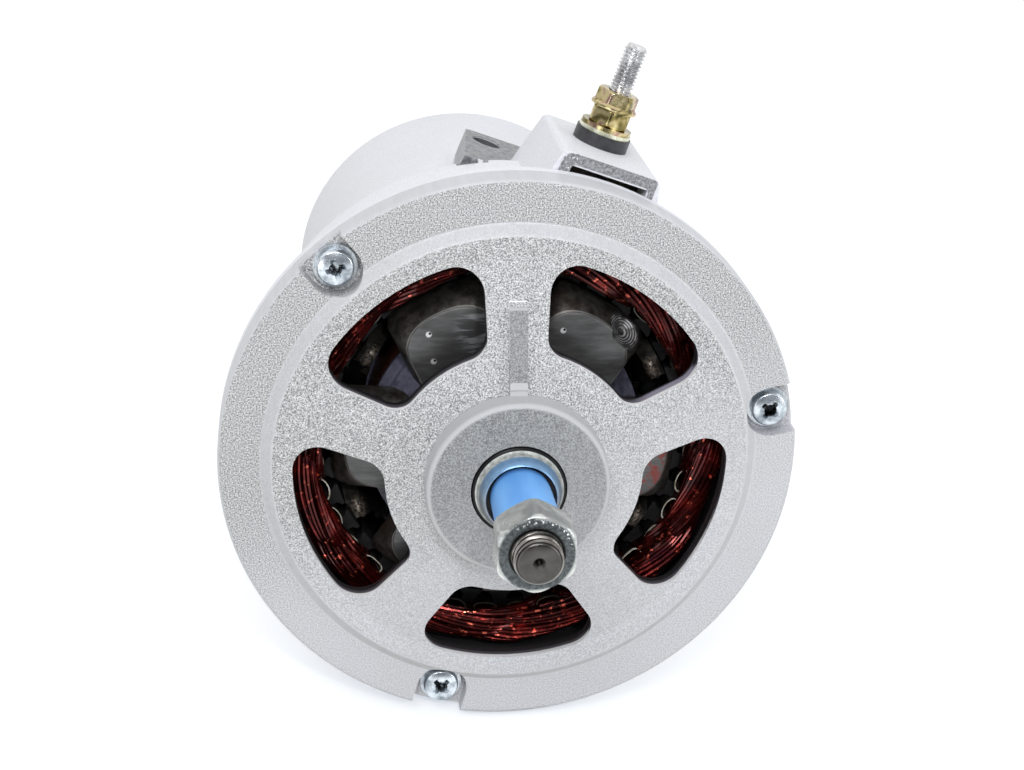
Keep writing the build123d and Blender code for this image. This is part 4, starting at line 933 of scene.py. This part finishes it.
def make_claws():
    step = 360 / claw_count
    for i in range(claw_count):
        name = f"front_claw_{i + 1}"
        made = piece(name, *claw_mesh(claw_first_angle + i * step), "rotor", "claw_steel", sharp=40)
        if i == 0:
            # A shallow cone whose tip is 1.2 mm under the lobe's corner.
            verts, faces = lathe([(0, 1.2), (5.0, -0.6), (5.0, -9.0), (0, -9.0)], 48)
            mesh = bpy.data.meshes.new("dimple")
            mesh.from_pydata([(dimple_turn @ Vector(v) + dimple_place) * MM for v in verts], [], faces)
            drilled(made, put("dimple", mesh))
        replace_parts(made, "front_claw_pole")
    hub = lathe(closed([(8.55, 7.0), (25.6, 7.0), (26.6, 7.3), (30.0, 10.2), (34.0, 14.6), (34.0, 17.0),
                        (18.0, 17.0), (18.0, 27.9), (8.55, 27.9)]), 120)
    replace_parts(piece("front_pole_hub", *hub, "rotor", "bobbin_polymer"), "front_claw_pole")
    tips = []
    for i in range(claw_count):
        angle = claw_first_angle + (i + 0.5) * step
        verts, faces = lathe([(0, -1.3), (1.2, -1.1), (2.1, -0.6), (2.8, 0.2), (3.1, 1.2), (3.1, 3.5), (0, 3.5)], 28)
        centre = polar(43.4, angle, 14.6)
        spin = Matrix.Rotation(-radians(angle), 3, "Y")
        tips.append(([spin @ Vector((v[0] * 0.62, v[1], v[2] * 1.1)) + centre for v in map(Vector, verts)], faces))
    made = piece("rear_finger_ends", *merged(tips), "rotor", "finger_scale")


def make_collar():
    """Stepped collar that stands out of the shield's hole, with the sleeve in its groove."""
    low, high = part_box("fan_collar")
    back = high[1] / MM
    rows = [(7.6, back), (12.02, back), (12.02, -17.4), (11.8, -18.2), (11.0, -18.8), (10.6, -19.6),
            (10.5, -20.4), (10.25, -20.8), (10.1, -21.5), (9.6, -22.6), (9.2, -23.1),
            (8.95, -23.2), (8.85, -23.0), (8.85, -21.0), (7.62, -21.0)]
    made = piece("fan_collar_stepped", *lathe(closed(rows), 128), "rotor", "collar_steel", sharp=30)
    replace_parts(made, "fan_collar")
    low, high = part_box("fan_seat_sleeve")
    front = low[1] / MM
    rows = [(7.52, front), (7.9, front), (7.95, front + 0.3), (7.75, -24.0), (7.66, -21.05), (7.52, -21.05)]
    made = piece("fan_seat_sleeve_soft", *lathe(closed(rows), 96), "rotor", "sleeve_blue", sharp=30)
    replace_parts(made, "fan_seat_sleeve")


# --- terminal box, lug and brush springs ---

def evenly(points, count):
    """Points spaced evenly along an open outline."""
    spans = [hypot(b[0] - a[0], b[1] - a[1]) for a, b in zip(points, points[1:])]
    made = []
    for i in range(count):
        want, k = sum(spans) * i / (count - 1), 0
        while want > spans[k] and k < len(spans) - 1:
            want -= spans[k]
            k += 1
        share = min(1.0, want / spans[k])
        made.append([a + (b - a) * share for a, b in zip(points[k], points[k + 1])])
    return made


def on_box(reach, side, y):
    """A point by its reach along the stud's axis and its place across the box."""
    return stud_axis * reach + box_side * side + Vector((0, y, 0))


def make_box_front():
    """Milled frame round the slot in the front of the terminal box."""
    outer = [(73.0, -12.4), (78.9, -12.4), (79.35, -11.6), (79.4, 0), (79.35, 10.8), (78.9, 12.0),
             (77.8, 13.0), (73.0, 13.4)]
    low, top, left, right, round_r = 72.6, slot_top_reach - 0.15, 10.4, -10.9, 1.45
    inner = [(low, right)]
    for middle, start in ((right + round_r, -90), (left - round_r, 0)):
        turns = [radians(start + 15 * i) for i in range(7)]
        inner += [(top - round_r + round_r * cos(turn), middle + round_r * sin(turn)) for turn in turns]
    inner.append((low, left))
    count = 48
    verts = [on_box(reach, side, y) for y in (box_front_y - 0.12, box_front_y + 1.0)
             for loop in (outer, inner) for reach, side in evenly(loop, count)]
    faces = [[a * count + i, a * count + i + 1, b * count + i + 1, b * count + i]
             for i in range(count - 1) for a, b in ((0, 1), (2, 3), (0, 2), (1, 3))]
    faces += [[i, count + i, 3 * count + i, 2 * count + i] for i in (0, count - 1)]
    made = piece("box_front_frame", verts, faces, "casing", "milled_cast", sharp=30)


def make_lug_flank():
    """Flared far side of the milled lug."""
    verts = []
    for reach, wide in ((62.98, 31.3), (57.0, 31.9), (50.0, 32.2)):
        for y, side in ((79.0, 27.5), (45.0, 27.5), (45.0, wide), (79.0, 27.6 + (wide - 31.3) * 0.5)):
            verts.append(on_box(reach, side, y))
    faces = [[0, 1, 2, 3], [8, 9, 10, 11]] + grid_faces(3, 4, wrap=True)
    piece("lug_flank", verts, faces, "casing", "cast_housing", sharp=20)


def make_brush_springs():
    """Coil springs behind the brushes, each filling the box of its CAD spring."""
    wire, coils, per_turn, travel = 0.3, 7, 24, 4.0
    for letter in ("a", "b"):
        low, high = (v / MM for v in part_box(f"brush_spring_{letter}"))
        middle = (low + high) / 2
        coil_r = min(high.x - low.x, high.y - low.y) / 2 - wire
        points = []
        for i in range(coils * per_turn + 1):
            turn = 2 * pi * i / per_turn
            rise = low.z + wire + (high.z - low.z - 2 * wire) * i / (coils * per_turn)
            points.append(Vector((middle.x + coil_r * cos(turn), middle.y + coil_r * sin(turn), rise)))
        made = piece(f"brush_spring_{letter}_coil", *tube_along(points, wire, 8), "casing", "spring_steel")
        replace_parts(made, f"brush_spring_{letter}")
        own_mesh(made)


# --- screws, nuts, threads ---

def cross_depth(x, z, half, width, depth):
    """Depth of a cross recess at a place on the head."""
    arm, off = max(abs(x), abs(z)), min(abs(x), abs(z))
    wall = min((width - off) / 0.16, (half - arm) / (half * 0.62))
    centre = (half * 0.62 - hypot(x, z)) / 0.35
    best = max(wall, min(centre, 1.0) * 0.95)
    return depth * min(1.0, max(0.0, best))


def pan_screw(head_y, head_r, height, shank_r, end_y, turn):
    """A cross-recess screw about Y with its head toward -Y."""
    bend_start = 0.86    # share of the head's radius where its edge starts to round

    def dome(r):
        return head_y + 0.75 * (r / head_r) ** 2.4

    rows = [(r, dome(r)) for r in (head_r * bend_start * i / 34 for i in range(35))]
    for i in range(1, 9):
        bend = pi / 2 * i / 8
        rows.append((head_r * (bend_start + (1 - bend_start) * sin(bend)),
                     dome(head_r * bend_start) + height * 0.36 * (1 - cos(bend))))
    rows += [(head_r, head_y + height), (shank_r, head_y + height), (shank_r, end_y), (0, end_y)]
    verts, faces = lathe(rows, 96)
    spin = radians(turn)
    cut = []
    for x, y, z in verts:
        if hypot(x, z) < head_r * 0.8 and y < head_y + height - 0.5:
            u, w = x * cos(spin) + z * sin(spin), z * cos(spin) - x * sin(spin)
            y += cross_depth(u, w, head_r * 0.55, 0.62, 2.3)
        cut.append((x, y, z))
    return cut, faces


def make_cover_screws():
    low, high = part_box("cover_screws")
    turns = (52.0, 18.0, 44.0)
    made = []
    for place, turn in zip(sorted(screw_angles), turns):
        verts, faces = pan_screw(low[1] / MM, 4.7, 3.1, 2.5, high[1] / MM, turn)
        made.append(([Vector(v) + polar(screw_circle_r, place, 0) for v in verts], faces))
    heads = piece("cover_screws_detailed", *merged(made), "casing", "zinc_screw", sharp=40)
    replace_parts(heads, "cover_screws")


def hex_nut(across_flats, y0, y1, bore, countersink, corner_round, front=True):
    """A nut about Y with turned-off corners; its front is toward -Y, and plain if front is False."""
    flat = across_flats / 2
    corner = flat / cos(pi / 6) - corner_round * 0.6
    drop = (corner - flat) * 0.75

    def shape(radius, y, angle):
        if radius < flat * 0.98:
            return radius
        depths = [y1 - y, y - y0] if front else [y1 - y]
        cone = min(flat * 0.985 + (corner - flat) * sqrt(max(0.0, depth / drop)) * 1.02 for depth in depths)
        return min(hex_radius(across_flats, angle, corner_round), corner, cone)

    rows = [(bore, y1), (bore, y0 + countersink), (bore + countersink * 0.45, y0 + countersink * 0.4),
            (bore + countersink, y0)]
    rows += [(bore + countersink + (flat * 0.97 - bore - countersink) * i / 4, y0) for i in range(1, 5)]
    body = [y0 + drop * (i / 6) ** 2 for i in range(7)] + steps_between(y0 + drop, y1 - drop, 1.2)[1:]
    body += [y1 - drop * (1 - i / 6) ** 2 for i in range(1, 7)]
    rows += [(across_flats, y) for y in body] + [(bore, y1)]
    return lathe(rows, 144, shape)


def make_shaft():
    """Shaft with its cut threads, seats and centre-drilled front end."""
    low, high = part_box("rotor_shaft")
    tip, back = low[1] / MM, high[1] / MM
    thread_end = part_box("fan_nut")[1][1] / MM
    seat_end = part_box("pulley_nut")[0][1] / MM
    front_r, rear_r, seat_r, mid_r = 5.95, 6.9, 7.5, 8.5
    pitch, depth, ring_step = 1.5, 0.8, 0.125
    bearing_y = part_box("fan_collar")[1][1] / MM
    rows = [(0, tip + 1.7), (0.3, tip + 1.5), (1.15, tip + 0.45), (1.5, tip + 0.08), (2.3, tip)]
    rows += [(front_r - 1.25, tip), (front_r - 0.95, tip + 0.12), (front_r - 0.5, tip + 0.55)]
    rows += [(front_r, y) for y in steps_between(tip + 1.0, thread_end - 0.6, ring_step)]
    rows += [(front_r - 0.9, thread_end - 0.5), (front_r - 0.9, thread_end), (seat_r, thread_end),
             (seat_r, bearing_y), (mid_r, bearing_y), (mid_r, seat_end), (rear_r, seat_end + 0.01)]
    rows += [(rear_r, y) for y in steps_between(seat_end + 0.4, back - 1.3, ring_step)]
    rows += [(rear_r - 0.6, back - 0.6), (rear_r - 1.2, back), (0, back)]

    def cut(radius, y, angle):
        if tip + 0.9 < y < thread_end - 0.55 and radius == front_r:
            return radius - thread_depth(y, angle, pitch, depth) * min(1.0, (y - tip - 0.6) / 1.0)
        if seat_end + 0.3 < y and radius == rear_r:
            return radius - thread_depth(y, angle, pitch, depth)
        return radius

    shaft = piece("rotor_shaft_threaded", *lathe(rows, 96, cut), "rotor", "shaft_steel", sharp=32)
    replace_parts(shaft, "rotor_shaft")


def make_fan_nut():
    low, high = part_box("fan_nut")
    nut = hex_nut(18.6, low[1] / MM, high[1] / MM, 5.6, 0.8, 0.55)
    made = piece("fan_nut_soft", *nut, "rotor", "fan_nut_zinc", sharp=28)
    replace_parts(made, "fan_nut")


def make_stud():
    """Threaded stud and its two nuts, the upper one flanged, standing on the box."""
    low, high = span_along("stud_bolt", stud_axis)
    stud_r, pitch, depth = 3.0, 1.0, 0.62
    bore = stud_r + 0.02
    rows = [(0, low), (5.6, low), (5.6, low + 4.0), (stud_r, low + 4.0)]
    rows += [(stud_r, y) for y in steps_between(low + 4.6, high - 0.8, 0.1)]
    rows += [(stud_r - 0.45, high - 0.35), (stud_r - 0.8, high), (0, high)]

    def cut(radius, y, angle):
        if radius == stud_r and y > low + 4.5:
            return radius - thread_depth(y, angle, pitch, depth)
        return radius

    stand = turn_to(stud_axis, stud_foot)
    bolt = piece("stud_threaded", *lathe(rows, 72, cut), "casing", "stud_steel", matrix=stand, sharp=50)
    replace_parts(bolt, "stud_bolt")

    def stand_turned(turn):
        return stand @ Matrix.Rotation(radians(turn), 4, "Y")

    a, b = span_along("stud_lower_nut", stud_axis)
    lower = hex_nut(10.0, a, b, bore, 0.5, 0.3)
    lower = piece("stud_lower_nut_soft", *lower, "casing", "yellow_zinc", matrix=stand_turned(8), sharp=28)
    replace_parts(lower, "stud_lower_nut")
    a, b = span_along("stud_flange_nut", stud_axis)
    flange = [(bore, a), (6.1, a), (6.2, a + 0.25), (6.15, a + 0.75), (5.5, a + 1.35), (bore, a + 1.8)]
    upper = merged([hex_nut(10.0, a + 0.2, b, bore, 0.5, 0.3, front=False), lathe(closed(flange), 96)])
    upper = piece("stud_flange_nut_soft", *upper, "casing", "yellow_zinc", matrix=stand_turned(-14), sharp=28)
    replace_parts(upper, "stud_flange_nut")


# --- camera, floor and light ---

camera_place = Vector((-55.37, -442.15, 198.71))
camera_forward = Vector((0.11483, 0.92201, -0.36975))
camera_right = Vector((0.99320, -0.11374, 0.02483))
camera_lens = 66.09
backdrop_direction = (0.0, 0.5, 0.866)


def add_camera():
    data = bpy.data.cameras.new("camera")
    data.sensor_width = 36.0
    data.lens = camera_lens
    data.clip_start = 0.01
    made = put("camera", data)
    back = -camera_forward.normalized()
    right = camera_right.normalized()
    up = back.cross(right)
    turn = Matrix((right, up, back)).transposed().to_4x4()
    made.matrix_world = Matrix.Translation(camera_place * MM) @ turn
    bpy.context.scene.camera = made


def add_floor():
    """Pale floor that the flange rim and the barrel's far end rest on. The camera and the
    object's own reflections see it brighter than it lights."""
    slope = (shield_rim_r - barrel_r) / (barrel_end_y - bell_front_y)
    half = 3000.0
    centre = Vector((0, bell_front_y, -shield_rim_r - 0.1))
    verts = [centre + Vector((x, y, y * slope)) for x in (-half, half) for y in (-half, half)]
    mesh = bpy.data.meshes.new("floor")
    mesh.from_pydata([v * MM for v in verts], [], [(0, 2, 3, 1)])
    floor = put("floor", mesh)
    material = bpy.data.materials.new("floor")
    material.use_nodes = True
    material.node_tree.nodes.clear()
    g = Graph(material.node_tree)
    diffuse = g.add("ShaderNodeBsdfDiffuse", {"Color": (0.60, 0.58, 0.52, 1.0)})
    path = g.add("ShaderNodeLightPath").outputs
    seen = g.math("MAXIMUM", path["Is Camera Ray"], path["Is Glossy Ray"])
    seen = g.math("MAXIMUM", seen, path["Is Transmission Ray"])
    glow = g.add("ShaderNodeEmission", {"Color": (0.46, 0.50, 0.58, 1.0), "Strength": seen})
    total = g.add("ShaderNodeAddShader", {0: diffuse.outputs[0], 1: glow.outputs[0]})
    g.add("ShaderNodeOutputMaterial", {"Surface": total.outputs[0]})
    mesh.materials.append(material)


def add_world():
    """White backdrop behind and above the object, a dim room on the camera's side."""
    world = bpy.data.worlds.new("studio")
    bpy.context.scene.world = world
    world.use_nodes = True
    world.node_tree.nodes.clear()
    g = Graph(world.node_tree, "Generated")
    fade = g.window(g.along(backdrop_direction), -0.45, 0.75)
    soft = g.add("ShaderNodeBackground", {"Color": g.mix(fade, (0.12, 0.125, 0.14), 1.0)})
    white = g.add("ShaderNodeBackground", {"Color": (1, 1, 1, 1)})
    path = g.add("ShaderNodeLightPath").outputs
    seen = g.math("MAXIMUM", path["Is Camera Ray"], path["Is Transmission Ray"])
    choose = g.add("ShaderNodeMixShader", {0: seen, 1: soft.outputs[0], 2: white.outputs[0]})
    g.add("ShaderNodeOutputWorld", {"Surface": choose.outputs[0]})


def add_lamp(name, place, power, size, shade=(1, 1, 1)):
    """Area lamp at a place in millimetres, aimed at the middle of the shield."""
    data = bpy.data.lights.new(name, "AREA")
    data.shape = "DISK"
    data.size = size
    data.energy = power
    data.color = shade
    made = put(name, data)
    made.location = Vector(place) * MM
    aim = Vector((0, 20, 0)) * MM - made.location
    made.rotation_euler = aim.to_track_quat("-Z", "Y").to_euler()


make_windings()
make_films()
make_claws()
make_collar()
make_box_front()
make_lug_flank()
make_brush_springs()
make_cover_screws()
make_shaft()
make_fan_nut()
make_stud()
add_camera()
add_floor()
add_world()
add_lamp("key", (-250, -800, 700), 4.4, 0.45)
add_lamp("fill", (800, -600, 150), 2.5, 0.5, (0.95, 0.975, 1.0))
add_lamp("low", (-600, -700, -40), 1.3, 0.5, (0.96, 0.98, 1.0))
add_lamp("spark", (60, -700, 420), 1.4, 0.05)

bpy.context.scene.view_settings.view_transform = "Standard"
bpy.context.view_layer.update()
